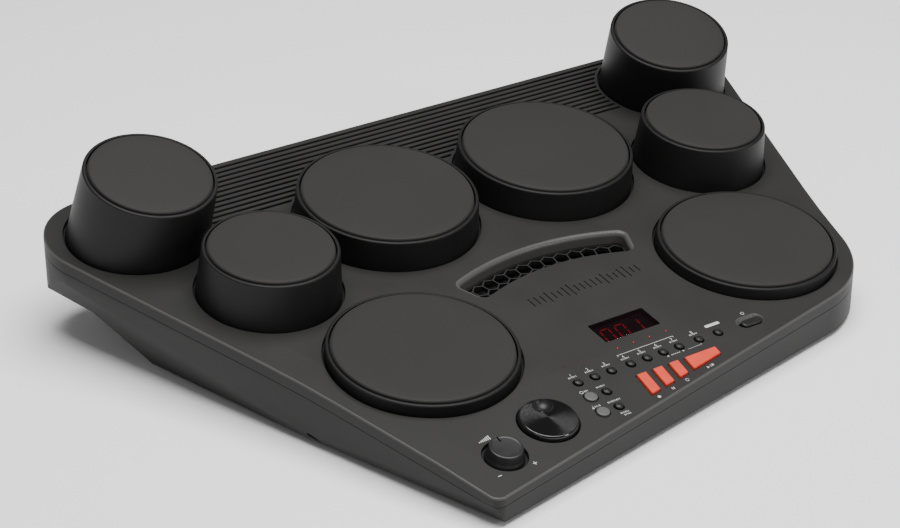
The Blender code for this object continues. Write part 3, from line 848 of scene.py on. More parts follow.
def slotCutters():  # straight slots side by side, stopped short of the pads
    s = slotSizes
    half = s["width"] / 2
    wide = half + s["lip"]
    section = [
        (-half, -s["depth"]), (half, -s["depth"]), (half, -s["lip"]), (wide, 0.00003),
        (wide, 0.003), (-wide, 0.003), (-wide, 0.00003), (-half, -s["lip"]),
    ]
    bm = bmesh.new()
    here = onDeck(0.0, s["firstY"])
    skin(bm, [[here @ Vector((x, y, z)) for y, z in section] for x in (-s["halfLength"], s["halfLength"])])
    bar = makeObject("slotBar", bm)
    step = (0.0, s["pitch"], s["pitch"] * math.tan(caseSizes["deckSlope"]))
    bars = rowPattern().grow("slotBars", Piece=bar, Count=s["count"], Step=step, Material=finishes["case"])
    columns = bmesh.new()
    for kind in ("Tall", "Centre"):
        for side in (-1, 1):
            radius = padShapes[kind]["baseRadius"] + s["margin"]
            turned(columns, ((0.0, -0.012), (0.0, 0.012)), baseFrame(padShapes[kind], side), 96, radius)
    carve(bars, makeObject("padColumns", columns))
    discard(bar)
    return bars


def motifCutters():  # a plain row of level bars pressed into the deck
    s = motifSizes
    bm = bmesh.new()
    for k in range(s["count"]):
        level = abs(math.sin(0.62 * k + 0.4)) * (0.55 + 0.45 * math.cos(1.9 * k))
        size = (s["width"], s["least"] + s["swing"] * level)
        here = onDeck(s["from"][0] + k * s["pitch"], s["from"][1])
        boxed(bm, size, s["width"] / 2 - 0.00005, ((0.0, -s["depth"]), (0.0, 0.002)), here)
    return makeObject("motifCutters", bm)


def sharpenFlats(obj, least=0.0001):  # a slight fold between two wide flats keeps its line
    bm = bmesh.new()
    bm.from_mesh(obj.data)
    for edge in bm.edges:
        if len(edge.link_faces) == 2 and min(face.calc_area() for face in edge.link_faces) > least:
            if edge.calc_face_angle(0.0) > math.radians(1.0):
                edge.smooth = False
    bm.to_mesh(obj.data)
    bm.free()


def upperCase():
    s = caseSizes
    c = controlSizes
    bm = caseBody(0.0)
    point, up = seamPlane(s["gap"] / 2)
    keepBelow(bm, point, -up)
    # the rounding of the upper ridges takes slot 1, the lighter edge plastic: a painted highlight along the
    # ridges
    soften(bm, Vector((0, 0, 1)), s["ridgeRadius"], 4, 1)
    soften(bm, Vector((0, 0, -1)), s["seamRadius"], 2)
    case = makeObject("upperCaseShell", bm, ("case", "caseEdgeHighlight", "inner"))
    carve(case, makeObject("upperHollow", caseBody(s["wall"])))

    bm = bmesh.new()  # cups under the knob and the dial, and a thick rim under the port
    for at, radius in ((c["knobAt"], c["recessRadius"]), (c["dialAt"], c["dialRadius"])):
        turned(bm, ((0.002, -0.0012), (0.002, -0.0055)), onPanel(*at), 64, radius)
    skin(bm, [overDeck(portOutline(0.0045), z) for z in (-0.0012, -portSizes["bossDepth"])])
    carve(case, makeObject("cups", bm), "UNION")
    carve(case, holeCutters())

    bm = bmesh.new()
    for at in (c["knobAt"], c["dialAt"]):
        turned(bm, ((0.0, -0.008), (0.0, -0.001)), onPanel(*at), 24, c["shaftHole"])
    carve(case, makeObject("shaftHoles", bm))
    for tool in (*powerCutters(), slotCutters(), motifCutters()):
        carve(case, tool)
    sharpenFlats(case)
    evenShading(case)
    return finishPiece(case, "case", "case_plastic", "upper_case")


upperCase()
print("upper case done")

lowerSizes = {
    "stepY": 0.093,
    "stepRun": 0.0374,
    "stepRise": 0.0313,
    "underSlope": 0.111,
    "bayAt": (0.0, -0.020),
    "baySize": (0.165, 0.060),
    "socketAt": (0.0, 0.0585),  # x and z of the rear panel's middle
    "socketSize": (0.130, 0.017),
    "notchTops": (
        (0.2875, 0.1121, 0.0310), (0.2567, 0.0286, 0.0204),
        (0.2263, -0.0549, 0.0102), (0.2019, -0.1401, 0.0047),
    ),
    "notchRadius": 0.0019,
    "notchRun": 0.0105,
    "notchDrop": 0.0042,
    "plateAt": (-0.140, 0.020),
    "plateSize": (0.052, 0.034),
    "feet": ((-0.165, -0.178), (0.165, -0.112), (-0.212, 0.068), (0.212, 0.068)),
    "footRadius": 0.008,
    "footFillet": 0.0014,
    "gripAt": (-0.066, -0.020),  # the first grip groove of the battery cover
    "gripStarts": (0.0, 0.1155),
}


def rearStep(inset):  # what is taken from under the back of the case
    s = lowerSizes
    topY = s["stepY"] + s["stepRun"]
    topZ = caseSizes["baseZ"] + s["stepRise"]
    far = 0.1
    corners = [
        (s["stepY"] - far * s["stepRun"], caseSizes["baseZ"] - far * s["stepRise"], 0.0),
        (topY + far, -far, 0.0),
        (topY + 2 * far, topZ + 2 * far * s["underSlope"], 0.0),
        (topY, topZ, 0.0),
    ]
    bm = bmesh.new()
    profile = insetCorners(corners, -inset)
    skin(bm, [[Vector((x, point[0], point[1])) for point in profile] for x in (-0.4, 0.4)])
    return makeObject("rearStep", bm)


def sideNotches():  # (wide end, narrow end) of each tapered notch moulded into the leaning lower sides
    s = lowerSizes
    tilt, bearing = caseSizes["bellyTilt"], caseSizes["bellies"][0][1]
    notches = []
    for side in (-1, 1):
        forward = Vector((-side * caseSizes["sideRunFront"], -1, 0)).normalized()
        lean = math.sin(tilt)
        down = Vector((-side * lean * math.cos(bearing), lean * math.sin(bearing), -math.cos(tilt)))
        for x, y, z in s["notchTops"]:
            if side < 0 or y > -0.1:  # the right front corner is rounded away there
                wide = Vector((side * x, y, z)) + down * s["notchRadius"]
                notches.append((wide, wide + forward * s["notchRun"] + down * s["notchDrop"]))
    return notches


def lowerCase():
    s = lowerSizes
    bm = caseBody(0.0)
    point, up = seamPlane(-caseSizes["gap"] / 2)
    keepBelow(bm, point, up)
    soften(bm, Vector((0, 0, 1)), caseSizes["seamRadius"], 2)
    case = makeObject("lowerCaseShell", bm, ("case", "inner"))
    carve(case, rearStep(0.0))

    hollow = makeObject("lowerHollow", caseBody(caseSizes["wall"]))
    carve(hollow, rearStep(caseSizes["wall"]))
    carve(case, hollow)

    bm = bmesh.new()
    for wide, narrow in sideNotches():
        turn = (narrow - wide).to_track_quat("Z", "Y").to_matrix().to_4x4()
        run = (narrow - wide).length
        parts = ((0.2, -0.0012), (0.75, -0.0008), (1.0, 0.0))
        parts += ((0.95, run * 0.3), (0.55, run * 0.7), (0.08, run))
        profile = [(part * s["notchRadius"], height) for part, height in parts]
        turned(bm, profile, Matrix.Translation(wide) @ turn, 24, material=1)
    base = Matrix.Translation((0, 0, caseSizes["baseZ"]))
    bay = ((0.0006, -0.002), (0.0006, -0.00003), (0.0, 0.0006), (0.0, 0.006))
    boxed(bm, s["baySize"], 0.0025, bay, base, s["bayAt"])
    boxed(bm, s["plateSize"], 0.002, ((0.0003, -0.002), (0.0003, 0.0), (0.0, 0.0004)), base, s["plateAt"])
    for x, y in s["feet"]:
        turned(bm, ((0.0094, 0.002), (0.0094, 0.0044), (0.0090, 0.0048)), Matrix.Translation((x, y, 0)), 40)
    mouth = ((0.0008, 0.004), (0.0008, 0.00003), (0.0003, -0.0005), (0.0003, -0.006))
    boxed(bm, s["socketSize"], 0.0015, mouth, socketFacing())
    carve(case, makeObject("lowerOpenings", bm))
    sharpenFlats(case)
    evenShading(case)
    return finishPiece(case, "case", "case_plastic", "lower_case")


def socketFacing():  # the rear panel's frame: +Z points out of the back
    x, z = lowerSizes["socketAt"]
    return Matrix.Translation((x, caseSizes["backY"], z)) @ Matrix.Rotation(-math.pi / 2, 4, "X")


def rubberFeet():
    s = lowerSizes
    for number, (x, y) in enumerate(s["feet"], 1):
        top = caseSizes["baseZ"] - caseSizes["gap"]
        radius = s["footRadius"]
        fillet = s["footFillet"]
        profile = [(radius - 0.0004, top), (radius, top - 0.0004), (radius, 0.0016)]
        for k in range(5):
            turn = math.radians(22.5 * k)
            profile.append((radius - fillet * (1 - math.cos(turn)), fillet - fillet * math.sin(turn)))
        profile += [(0.0052, 0.0), (0.0048, 0.0005), (0.0032, 0.0005), (0.0028, 0.0)]
        bm = bmesh.new()
        turned(bm, profile, Matrix.Translation((x, y, 0)), 40)
        foot = makeObject(f"rubberFoot{number}", bm, ("foot",))
        finishPiece(foot, "case", "foot_rubber", f"rubber_foot_{number}")


def batteryCover():
    size = [side - 2 * caseSizes["gap"] for side in lowerSizes["baySize"]]
    z = caseSizes["baseZ"]
    bm = bmesh.new()
    steps = ((-0.0005, z), (0.0, z + 0.0005), (0.0, z + caseSizes["wall"]))
    boxed(bm, size, 0.0022, steps, Matrix(), lowerSizes["bayAt"])
    cover = makeObject("batteryCoverPlate", bm, ("case",))
    bm = bmesh.new()
    steps = ((0.0, z - 0.002), (0.0, z + 0.0009))
    boxed(bm, (0.0014, 0.022), 0.0006, steps, Matrix(), lowerSizes["gripAt"])
    bar = makeObject("gripGroove", bm)
    row = rowPattern()
    for start in lowerSizes["gripStarts"]:  # grip grooves by both catches
        step = (0.0033, 0.0, 0.0)
        grooves = row.grow("gripGrooves", Piece=bar, Count=6, Step=step, Material=finishes["case"])
        grooves.data.transform(Matrix.Translation((start, 0, 0)))
        carve(cover, grooves)
    discard(bar)
    evenShading(cover)
    finishPiece(cover, "battery_cover", "case_plastic", "battery_cover")


socketSizes = {
    "jackXs": (-0.045, -0.018, 0.009),
    "jack": 0.0034,
    "small": (0.032, 0.0018),  # x and radius
    "inlet": (0.050, 0.0030),
    "length": 0.014,
    "flange": 0.0030,
}


def socketPanel():
    s = socketSizes
    facing = socketFacing()
    bm = bmesh.new()
    steps = ((-0.0003, -0.0004), (0.0, -0.0007), (0.0, -s["flange"]), (-0.0035, -s["flange"]))
    steps += ((-0.0035, -s["flange"] - s["length"]),)
    boxed(bm, lowerSizes["socketSize"], 0.0013, steps, facing)
    panel = makeObject("socketPlate", bm, ("case", "inner"))
    bores = [(at, s["jack"], -s["length"]) for at in s["jackXs"]]
    bores += [(*s["small"], -s["length"]), (*s["inlet"], -0.010)]
    bm = bmesh.new()
    for at, radius, depth in bores:
        here = facing @ Matrix.Translation((at, 0, 0))
        turned(bm, ((0.0, depth), (0.0, -0.0010), (0.0004, -0.0004), (0.0004, 0.002)), here, 32, radius, 1)
    carve(panel, makeObject("socketBores", bm))
    evenShading(panel)
    finishPiece(panel, "case", "case_plastic", "socket_panel")

    bm = bmesh.new()  # a metal collar round each jack, and the pin of the inlet
    for at, radius, depth in bores[:4]:
        outer = radius + 0.0016
        rings = [circle(size, height, 40, facing, (at, 0.0)) for size, height in (
            (outer, -0.0003), (outer, 0.0001), (outer - 0.0003, 0.0004), (radius + 0.0004, 0.0004),
            (radius, 0.0), (radius, -0.0060), (radius + 0.0003, -0.0060), (radius + 0.0003, -0.0003),
        )]
        skin(bm, rings, loop=True)
    at, radius = s["inlet"]
    pin = ((0.0004, -0.0016), (0.0009, -0.0022), (0.0009, -0.0099))
    turned(bm, pin, facing @ Matrix.Translation((at, 0, 0)), 20)
    collars = makeObject("socketCollars", bm, ("nickel",))
    finishPiece(collars, "case", "sensor_steel")


lowerCase()
rubberFeet()
batteryCover()
socketPanel()
print("lower case, feet, battery cover and sockets done")


def padFrames(shape, side):  # where the rim and the base lie: +Z is their normal
    x, y, z = shape["rim"]
    forward, inward = (math.radians(angle) for angle in shape["tilts"])
    turn = Matrix.Rotation(-side * inward, 4, "Y") @ Matrix.Rotation(forward, 4, "X")
    return Matrix.Translation((side * x, y, z)) @ turn, baseFrame(shape, side)


def padTower(shape, side, name, node):
    s = padSizes
    groove = shape["groove"]
    rimFrame, deckFrame = padFrames(shape, side)
    rimRadius = groove + s["rim"]
    pocket = groove + 0.0006
    ledge = groove - s["ledge"]
    base = shape["baseRadius"] - s["clearance"]
    count = s["segments"]
    outside = [(radius, z) for radius, z in reversed(roundOver(rimRadius, 0.0, s["rimFillet"], 5))]
    inside = [(pocket + 0.0004, 0.0), (pocket + 0.0001, -0.0001), (pocket, -0.0004)]
    inside += [(pocket, -s["pocket"]), (ledge, -s["pocket"]), (ledge, -s["pocket"] - 0.002)]
    rings = [circle(radius, z, count, rimFrame) for radius, z in outside + inside]
    outer = base + 0.0020
    flange = ((base - s["wall"], -0.0050), (outer, -0.0050), (outer, -0.0034), (base, -0.0034))
    rings += [circle(radius, z, count, deckFrame) for radius, z in flange]
    bm = bmesh.new()
    skin(bm, rings, loop=True)
    # the towers take the darker tower plastic, which carries painted shade
    tower = makeObject(f"padTower{name}", bm, ("tower",))
    finishPiece(evenShading(tower), "case", "tower_plastic", f"pad_tower_{node}")


def rubberPad(shape, side, name, node):
    s = padSizes
    rimFrame = padFrames(shape, side)[0]
    radius = shape["groove"] - 0.0006
    crown = s["crown"]
    profile = [(0.002, crown), (radius * 0.5, crown)]
    for inset, fall in ((0.014, 0.00002), (0.009, 0.0001), (0.005, 0.00026), (0.0028, 0.00045)):
        profile.append((radius - inset, crown - fall))
    for k in range(6):
        turn = math.radians(14 + 76 * k / 5)
        profile.append((radius - 0.0018 + 0.0018 * math.sin(turn), crown - 0.0023 + 0.0018 * math.cos(turn)))
    profile.append((radius, caseSizes["gap"] - s["pocket"]))
    bm = bmesh.new()
    turned(bm, profile, rimFrame, s["segments"])
    pad = makeObject(f"rubberPad{name}", bm, ("rubber",), math.radians(50))
    finishPiece(pad, "case", "pad_rubber", f"rubber_pad_{node}")


for padKind, padShape in padShapes.items():
    for side, hand in ((-1, "Left"), (1, "Right")):
        padName = padKind + hand
        padNode = f"{padKind.lower()}_{hand.lower()}"
        padTower(padShape, side, padName, padNode)
        rubberPad(padShape, side, padName, padNode)
print("pads done")


def pressButtons():
    s = controlSizes
    foot = s["travelFoot"]
    skirt = s["smallRadius"] * 0.24
    for name, x, y, radius, finish, node in roundButtons():
        grey = finish == "grey"
        crown = 0.0013 if grey else 0.0016
        edge = 0.0005 if grey else 0.0011
        profile = [(0.0004, crown), (radius * 0.45, crown - 0.00005)]
        profile.append((radius - edge - 0.0003, crown - 0.00025 * (not grey)))
        for k in range(1, 6):
            turn = math.pi / 2 * k / 5
            rounding = radius - edge + edge * math.sin(turn)
            profile.append((rounding, crown - 0.0001 - edge * (1 - math.cos(turn))))
        profile = [(max(size - s["shy"], 0.0004), z) for size, z in profile]
        profile += [(radius - s["shy"], -0.0029), (radius + skirt, -0.0029), (radius + skirt, foot)]
        bm = bmesh.new()
        turned(bm, profile, onPanel(x, y), 44)
        finishPiece(makeObject(name, bm, (finish,), math.radians(50)), node, f"{finish}_plastic", node)
    for number, (left, width) in enumerate(s["orangeLefts"], 1):
        steps = [(-0.0011, 0.00205), (-0.0007, 0.0020), (-0.0003, 0.00175), (-0.0001, 0.0014), (0.0, 0.0010)]
        steps += [(0.0, -0.0029), (0.0008, -0.0029), (0.0008, foot)]
        bm = bmesh.new()
        skin(bm, orangeRings(left, width, steps))
        key = evenShading(makeObject(f"orangeButton{number}", bm, ("orange",)), math.radians(50))
        finishPiece(key, f"orange_button_{number}", "orange_plastic", f"orange_button_{number}")
    steps = [(-0.0012, 0.0012), (-0.0006, 0.0011), (-0.0002, 0.0008), (0.0, 0.0004), (0.0, 0.0)]
    steps += [(0.0, -0.0040), (0.0009, -0.0040), (0.0009, foot)]
    bm = bmesh.new()
    boxed(bm, s["powerSize"], s["powerSize"][1] / 2 - 0.0001, steps, onPanel(*s["powerAt"]))
    key = evenShading(makeObject("powerButton", bm, ("button",)), math.radians(50))
    finishPiece(key, "power_button", "button_plastic", "power_button")


def volumeKnob():
    s = controlSizes
    radius = s["knobRadius"]
    here = onPanel(*s["knobAt"])
    profile = [(0.0010, 0.0068)] + [(radius + growth, z) for growth, z in s["knobProfile"]]
    profile += [(0.0030, -0.0026), (0.0030, caseSizes["gap"] - 0.0080)]
    bm = bmesh.new()
    turned(bm, profile, here, 96)
    knob = makeObject("volumeKnobCap", bm, ("knob", "inner"))
    bm = bmesh.new()
    boxed(bm, (0.0011, 0.0052), 0.0005, ((0.0, 0.0058), (0.0, 0.0085)), here, (0.0, radius - 0.0032), 1)
    carve(knob, makeObject("knobMark", bm, ("knob", "inner")))
    evenShading(knob)
    finishPiece(knob, "volume_knob", "button_plastic", "volume_knob")


def jogDial():
    s = controlSizes
    radius = s["dialRadius"]
    top = s["dialHeight"]
    here = onPanel(*s["dialAt"])
    face = [(0.0006, top - 0.0002), (radius * 0.5, top - 0.0001), (radius - 0.0019, top)]
    falls = ((0.0014, 0.0002), (0.0009, 0.0008), (0.0006, 0.0015), (0.0004, 0.0024))
    bevel = [(radius - inset, top - fall) for inset, fall in falls]
    skirt = [(radius, -0.0032), (0.0030, -0.0032), (0.0030, caseSizes["gap"] - 0.0080)]
    bm = bmesh.new()
    turned(bm, face + bevel + skirt, here, 160)
    dial = makeObject("jogDialDisc", bm, ("gloss", "spun", "knob"))
    for polygon in dial.data.polygons:
        flat = polygon.normal.dot(panelUp) > 0.98
        polygon.material_index = int(flat and (polygon.center - here.translation).dot(panelUp) > 0.001)
    x, y = s["dimpleAt"]
    ball = s["dimpleBall"]
    bowl = []
    for k in range(9):
        turn = math.radians(8 + 50 * k / 8)
        drop = math.cos(math.radians(58)) - math.cos(turn)
        bowl.append((ball * math.sin(turn), top + 0.0003 + ball * drop))
    bm = bmesh.new()
    skin(bm, [circle(size, z, 56, here, (x, y)) for size, z in bowl], material=2)
    bowlTool = makeObject("dialDimple", bm, ("gloss", "spun", "knob"))
    bm = bmesh.new()  # a low polished ring stands round the dimple
    rim = bowl[-1][0]
    ring = ((0.0009, top - 0.0006), (0.0009, top), (0.0005, top + 0.0003), (-0.0002, top + 0.0003))
    skin(bm, [circle(rim + growth, z, 56, here, (x, y)) for growth, z in ring])
    carve(dial, makeObject("dialDimpleRim", bm, ("gloss",)), "UNION")
    carve(dial, bowlTool)
    evenShading(dial)
    finishPiece(dial, "jog_dial", "gloss_plastic", "jog_dial")


pressButtons()
volumeKnob()
jogDial()
print("controls done")

digitSizes = {
    "height": 0.0135,
    "width": 0.0072,
    "stroke": 0.0011,
    "pitch": 0.0122,
    "slant": 0.12,
    "firstX": -0.0147,
    "y": -0.0020,
    "z": -0.0027,
}
digitSegments = {"0": "abcdef", "1": "bc"}


def segmentShape(letter):  # one bar of a seven-bar digit, its ends cut to points
    w = digitSizes["width"] / 2
    h = digitSizes["height"] / 2
    t = digitSizes["stroke"] / 2
    nick = t * 1.15
    places = {
        "a": ((-w, h), (w, h)), "g": ((-w, 0), (w, 0)), "d": ((-w, -h), (w, -h)),
        "f": ((-w, h), (-w, 0)), "b": ((w, h), (w, 0)), "e": ((-w, 0), (-w, -h)), "c": ((w, 0), (w, -h)),
    }
    start, end = (Vector(point) for point in places[letter])
    along = (end - start).normalized()
    across = Vector((-along.y, along.x))
    start += along * nick
    end -= along * nick
    points = [start, start + along * t - across * t, end - along * t - across * t, end]
    points += [end - along * t + across * t, start + along * t + across * t]
    return [(point.x + digitSizes["slant"] * point.y, point.y) for point in points]


def display():
    s = windowSizes
    here = onDeck(*s["at"])
    bm = bmesh.new()
    boxed(bm, s["size"], s["corner"], ((0.0, -0.0022), (0.0, -0.0004), (-0.0002, -0.0002)), here)
    pane = makeObject("displayPane", bm, ("pane",))
    finishPiece(pane, "case", "smoked_window", "display_window")
    d = digitSizes
    bm = bmesh.new()
    for k, digit in enumerate("001"):
        for letter in "abcdefg":
            if letter in digitSegments[digit]:
                shape = [(x + d["firstX"] + k * d["pitch"], y + d["y"]) for x, y in segmentShape(letter)]
                skin(bm, [lifted(shape, z, here) for z in (d["z"], d["z"] + 0.0001)])
    finishPiece(makeObject("displayDigits", bm, ("lit",)), "case", "smoked_window")


def indicatorLamps():
    s = lampSizes
    for name, finish, chosen in (("litLamps", "lit", s["xs"][3:]), ("restingLamps", "dim", s["xs"][:3])):
        bm = bmesh.new()
        for x in chosen:
            turned(bm, s["profile"], onDeck(x, s["y"]), 20, s["radius"])
        finishPiece(makeObject(name, bm, (finish,)), "case", "smoked_window")


def portGrille():  # the port's liner, whose floor is a honeycomb bent along it
    s = portSizes
    walls = bmesh.new()
    flange, top, bottom = s["flange"], -s["linerTop"], -s["linerDepth"]
    steps = ((0.0, -s["floorDepth"]), (0.0, top), (flange, top), (flange, bottom), (0.0, bottom))
    skin(walls, [overDeck(portOutline(grow), z) for grow, z in steps])
    liner = makeObject("portLinerSolid", walls, ("case", "inner"))
    bm = bmesh.new()
    skin(bm, [overDeck(portOutline(0.0), z) for z in (-s["floorDepth"], 0.004)])
    carve(liner, makeObject("portHollow", bm))

    cells = honeycombPattern().grow(
        "portCells", Cell=s["cell"], Wall=s["cellWall"], Depth=0.004,
        Columns=s["columns"], Rows=s["rows"], Material=finishes["inner"],
    )
    middle = -(s["floorDepth"] + s["linerDepth"]) / 2
    for vertex in cells.data.vertices:
        flat = bentRound(vertex.co)
        vertex.co = (flat.x, flat.y, deckZ(flat.y) + middle + vertex.co.z)
    reach = bmesh.new()
    skin(reach, [overDeck(portOutline(-0.0004), z) for z in (-0.016, -0.006)])
    carve(cells, makeObject("cellReach", reach), "INTERSECT")
    carve(liner, cells)
    liner.name = "portLiner"
    evenShading(liner)
    finishPiece(liner, "case", "case_plastic", "port_grille")


display()
indicatorLamps()
portGrille()
print("display, lamps and port done")

markSizes = {
    "lift": 0.00002,
    "thick": 0.00005,
    "digitY": -0.1284,
    "digitHeight": 0.0036,
    "stroke": 0.00035,
    "iconRise": 0.0029,  # from a button's edge to the middle of its icon
    "frontDrop": 0.0040,  # from the front edge of an orange key to its icon
    "plateY": -0.1279,
    "powerRing": (0.0837, -0.1275, 0.0013, 125.0, 290.0),
    "bars": (  # x, y, width and height of single strokes
        (0.0294, -0.1417, 0.0120, 0.0002),
        (0.0354, -0.1410, 0.0002, 0.0014),
        (-0.1675, -0.1881, 0.0030, 0.0006),  # minus and plus for the knob's two ends
        (-0.1405, -0.1883, 0.0030, 0.0006),
        (-0.1405, -0.1883, 0.0006, 0.0030),
        (0.0837, -0.1265, 0.00035, 0.0017),
    ),
    "stripY": -0.1416,  # a strip of dashes between two arrows
    "stripArrows": ((0.0058, -1), (0.0194, 1)),
}


def digitOutlines(text, size):  # flat mesh of a plain numeral, centred on x
    curve = bpy.data.curves.new("numeral", "FONT")
    curve.body = text
    curve.size = size
    curve.align_x = "CENTER"
    curve.extrude = markSizes["thick"] / 2
    curve.resolution_u = 3
    obj = bpy.data.objects.new("numeral", curve)
    bpy.context.scene.collection.objects.link(obj)
    bpy.context.view_layer.update()
    mesh = bpy.data.meshes.new_from_object(obj.evaluated_get(bpy.context.evaluated_depsgraph_get()))
    discard(obj)
    return mesh


class Marks:  # thin ink shapes on the sloping panel; x and y are the panel's own place on the case
    def __init__(self):
        self.bm = bmesh.new()

    def shape(self, x, y, outline):
        low = markSizes["lift"]
        skin(self.bm, [lifted(outline, z, onPanel(x, y)) for z in (low, low + markSizes["thick"])])

    def dot(self, x, y, radius):
        self.shape(x, y, [(point.x, point.y) for point in circle(radius, 0, 20)])

    def bar(self, x, y, width, height, corner=0.00012):
        self.shape(x, y, boxOutline(width, height, corner))

    def arrow(self, x, y, size, point=1):  # a filled triangle that points right, or left for -1
        corners = [(-0.5 * size, -0.55 * size), (0.55 * size, 0.0), (-0.5 * size, 0.55 * size)]
        self.shape(x, y, [(cx * point, cy) for cx, cy in corners][::point])

    def ring(self, x, y, radius, start=0.0, sweep=360.0):  # an arc of constant stroke, in degrees
        count = 24
        half = markSizes["stroke"] / 2
        here = onPanel(x, y)
        low = markSizes["lift"]
        sections = []
        for k in range(count + (sweep < 360.0)):
            turn = math.radians(start + sweep * k / count)
            across = ((radius - half, low), (radius + half, low))
            across += ((radius + half, low + markSizes["thick"]), (radius - half, low + markSizes["thick"]))
            sections.append([here @ Vector((r * math.cos(turn), r * math.sin(turn), z)) for r, z in across])
        skin(self.bm, sections, loop=sweep >= 360.0)

    def dashes(self, x, y, count):  # a short run of upright strokes in place of a word
        for k in range(count):
            width = 0.00035 if k % 3 else 0.0006
            self.bar(x + 0.00118 * (k - (count - 1) / 2), y, width, 0.0014, 0.0001)

    def digit(self, x, y, text):
        mesh = digitOutlines(text, markSizes["digitHeight"])
        middle = markSizes["lift"] + markSizes["thick"] / 2
        mesh.transform(onPanel(x, y) @ Matrix.Translation((0, -0.001, middle)))
        self.bm.from_mesh(mesh)


def printedMarks():
    s = controlSizes
    ink = Marks()
    rise = markSizes["iconRise"]
    for number, (name, x, y, radius, _, _) in enumerate(roundButtons(), 1):
        above = y + radius + rise
        if number < 9:
            ink.digit(x, markSizes["digitY"], str(number))
            ink.dashes(x, markSizes["digitY"] - 0.0020, 6)
        elif number == 9:
            ink.bar(x + 0.0019, markSizes["plateY"], 0.0125, 0.0026, 0.0008)
        elif name == "clickButton":  # a beat mark
            ink.dashes(x - 0.0006, above, 6)
        elif name == "kitButton":  # a drum seen from above
            ink.ring(x - 0.0027, above - 0.0010, 0.0012)
            ink.dashes(x + 0.0010, above - 0.0010, 3)
        elif name == "tempoButton":
            ink.dashes(x + 0.0006, above, 9)
            ink.dashes(x, y - radius - rise, 6)
            ink.dashes(x + 0.0006, y - radius - rise - 0.0023, 5)
        else:  # a note
            ink.dot(x - 0.0033, above - 0.0017, 0.0007)
            ink.bar(x - 0.0027, above - 0.0006, 0.0003, 0.0024)
            ink.dashes(x + 0.0006, above - 0.0010, 4)
    firsts = [x for _, x, _, _, _, _ in roundButtons()]
    left, right = firsts[3] - 0.003, firsts[6] + 0.003
    bracketY = markSizes["digitY"] + 0.0028
    ink.bar((left + right) / 2, bracketY, right - left, markSizes["stroke"])
    for x in (left, right):
        ink.bar(x, bracketY - 0.0006, markSizes["stroke"], 0.0015)
    for x, point in markSizes["stripArrows"]:
        ink.arrow(x, markSizes["stripY"], 0.0014, point)
    for k in range(5):
        ink.bar(0.0093 + 0.0016 * k, markSizes["stripY"], 0.0010, 0.0006)
    for x, y, width, height in markSizes["bars"]:
        ink.bar(x, y, width, height, min(0.00012, width * 0.4, height * 0.4))
    icons = []
    for start, width in s["orangeLefts"]:
        y = s["orangeFrontY"] + caseSizes["frontEdgeRun"] * (start + width / 2) - markSizes["frontDrop"]
        icons.append((start + width / 2 + s["columnLean"] * (y - s["orangeBackY"]), y))
    ink.dot(*icons[0], 0.0012)
    for shift in (-0.0007, 0.0007):
        ink.bar(icons[1][0] + shift, icons[1][1], 0.0006, 0.0022)
    x, y = icons[2]
    for start in (20.0, 200.0):
        ink.ring(x, y, 0.0012, start, 130.0)
    ink.arrow(x - 0.0012, y - 0.0003, 0.0008, -1)
    ink.arrow(x + 0.0012, y + 0.0003, 0.0008)
    x, y = icons[3]
    ink.arrow(x - 0.0020, y - 0.0004, 0.0019)
    ink.bar(x + 0.0003, y, 0.0003, 0.0026)
    ink.bar(x + 0.0023, y + 0.0004, 0.0017, 0.0017)
    knobX, knobY = s["knobAt"]
    for k in range(7):  # rising level by the volume knob
        height = 0.0010 + 0.0005 * k
        ink.bar(knobX - 0.0075 + 0.0014 * k, knobY + 0.0168 + height / 2, 0.0007, height)
    ink.ring(*markSizes["powerRing"])
    finishPiece(makeObject("printedMarks", ink.bm, ("ink",)), "case", "button_plastic")


def paint(node, finish):
    mesh = bpy.data.objects[node].data
    mesh.materials.clear()
    mesh.materials.append(finishes[finish])


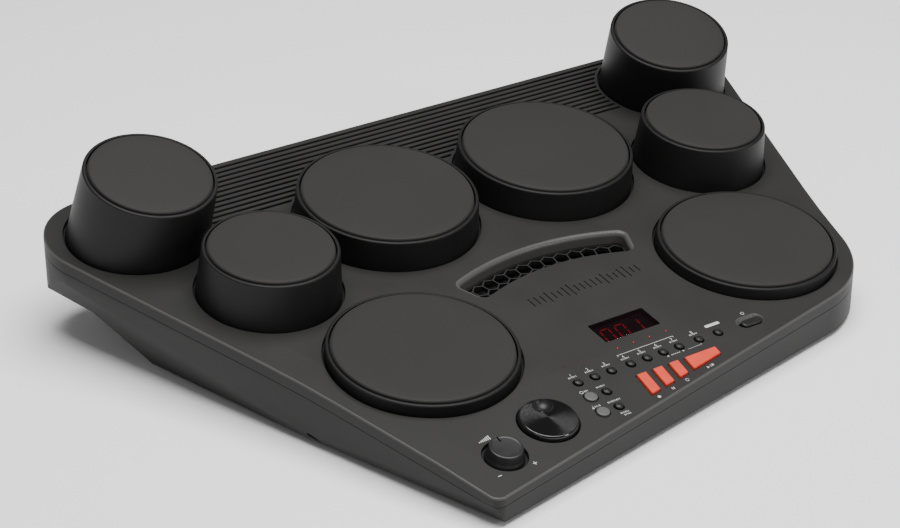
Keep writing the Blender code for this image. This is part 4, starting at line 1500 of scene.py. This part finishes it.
def hiddenParts():  # pieces inside the case keep their own shape and get a finish
    for node, finish in (
        ("speaker_left", "cone"), ("speaker_right", "cone"), ("panel_board", "board"),
        ("main_board", "board"), ("display_module", "gloss"), ("battery_box", "inner"),
    ):
        paint(node, finish)
    for kind in padShapes:
        for hand in ("left", "right"):
            paint(f"sensor_plate_{kind.lower()}_{hand}", "steel")


printedMarks()
hiddenParts()
print("printed marks and hidden parts done")

studio = {
    "cameraAt": (-0.8934, -1.1713, 0.7993),
    "cameraTurn": (63.0, 0.0, -34.57),
    "lens": 92.66,
    "shift": (0.01573, -0.00623),
    "lamps": (  # name, place, size, power, what it points at
        ("overheadSoftbox", (0.05, -0.20, 2.0), 1.8, 88.0, (0, 0, 0)),
        ("leftSoftbox", (-1.9, -0.9, 0.9), 1.0, 2.8, (0, 0, 0.05)),
        ("rightSoftbox", (1.15, -1.85, 1.1), 0.45, 11.0, (0, 0, 0.05)),
    ),
    "sky": 0.20,
}


def stageAndCamera():
    camera = bpy.data.objects.new("camera", bpy.data.cameras.new("camera"))
    bpy.context.scene.collection.objects.link(camera)
    camera.location = studio["cameraAt"]
    camera.rotation_euler = [math.radians(angle) for angle in studio["cameraTurn"]]
    camera.data.lens = studio["lens"]
    camera.data.sensor_width = 36.0
    camera.data.shift_x, camera.data.shift_y = studio["shift"]
    bpy.context.scene.camera = camera
    bm = bmesh.new()
    bmesh.ops.create_grid(bm, x_segments=1, y_segments=1, size=6.0)
    floor = makeObject("paleFloor", bm)
    floor.data.materials.append(Finish("paleFloor", (0.94, 0.94, 0.94), 0.9).material)
    for name, at, size, power, aim in studio["lamps"]:
        lamp = bpy.data.lights.new(name, "AREA")
        lamp.shape = "SQUARE"
        lamp.size = size
        lamp.energy = power
        obj = bpy.data.objects.new(name, lamp)
        obj.location = at
        obj.rotation_euler = (Vector(aim) - Vector(at)).to_track_quat("-Z", "Y").to_euler()
        bpy.context.scene.collection.objects.link(obj)
    world = bpy.data.worlds.new("studio")
    bpy.context.scene.world = world
    world.use_nodes = True
    world.node_tree.nodes["Background"].inputs["Color"].default_value = (1, 1, 1, 1)
    world.node_tree.nodes["Background"].inputs["Strength"].default_value = studio["sky"]


stageAndCamera()
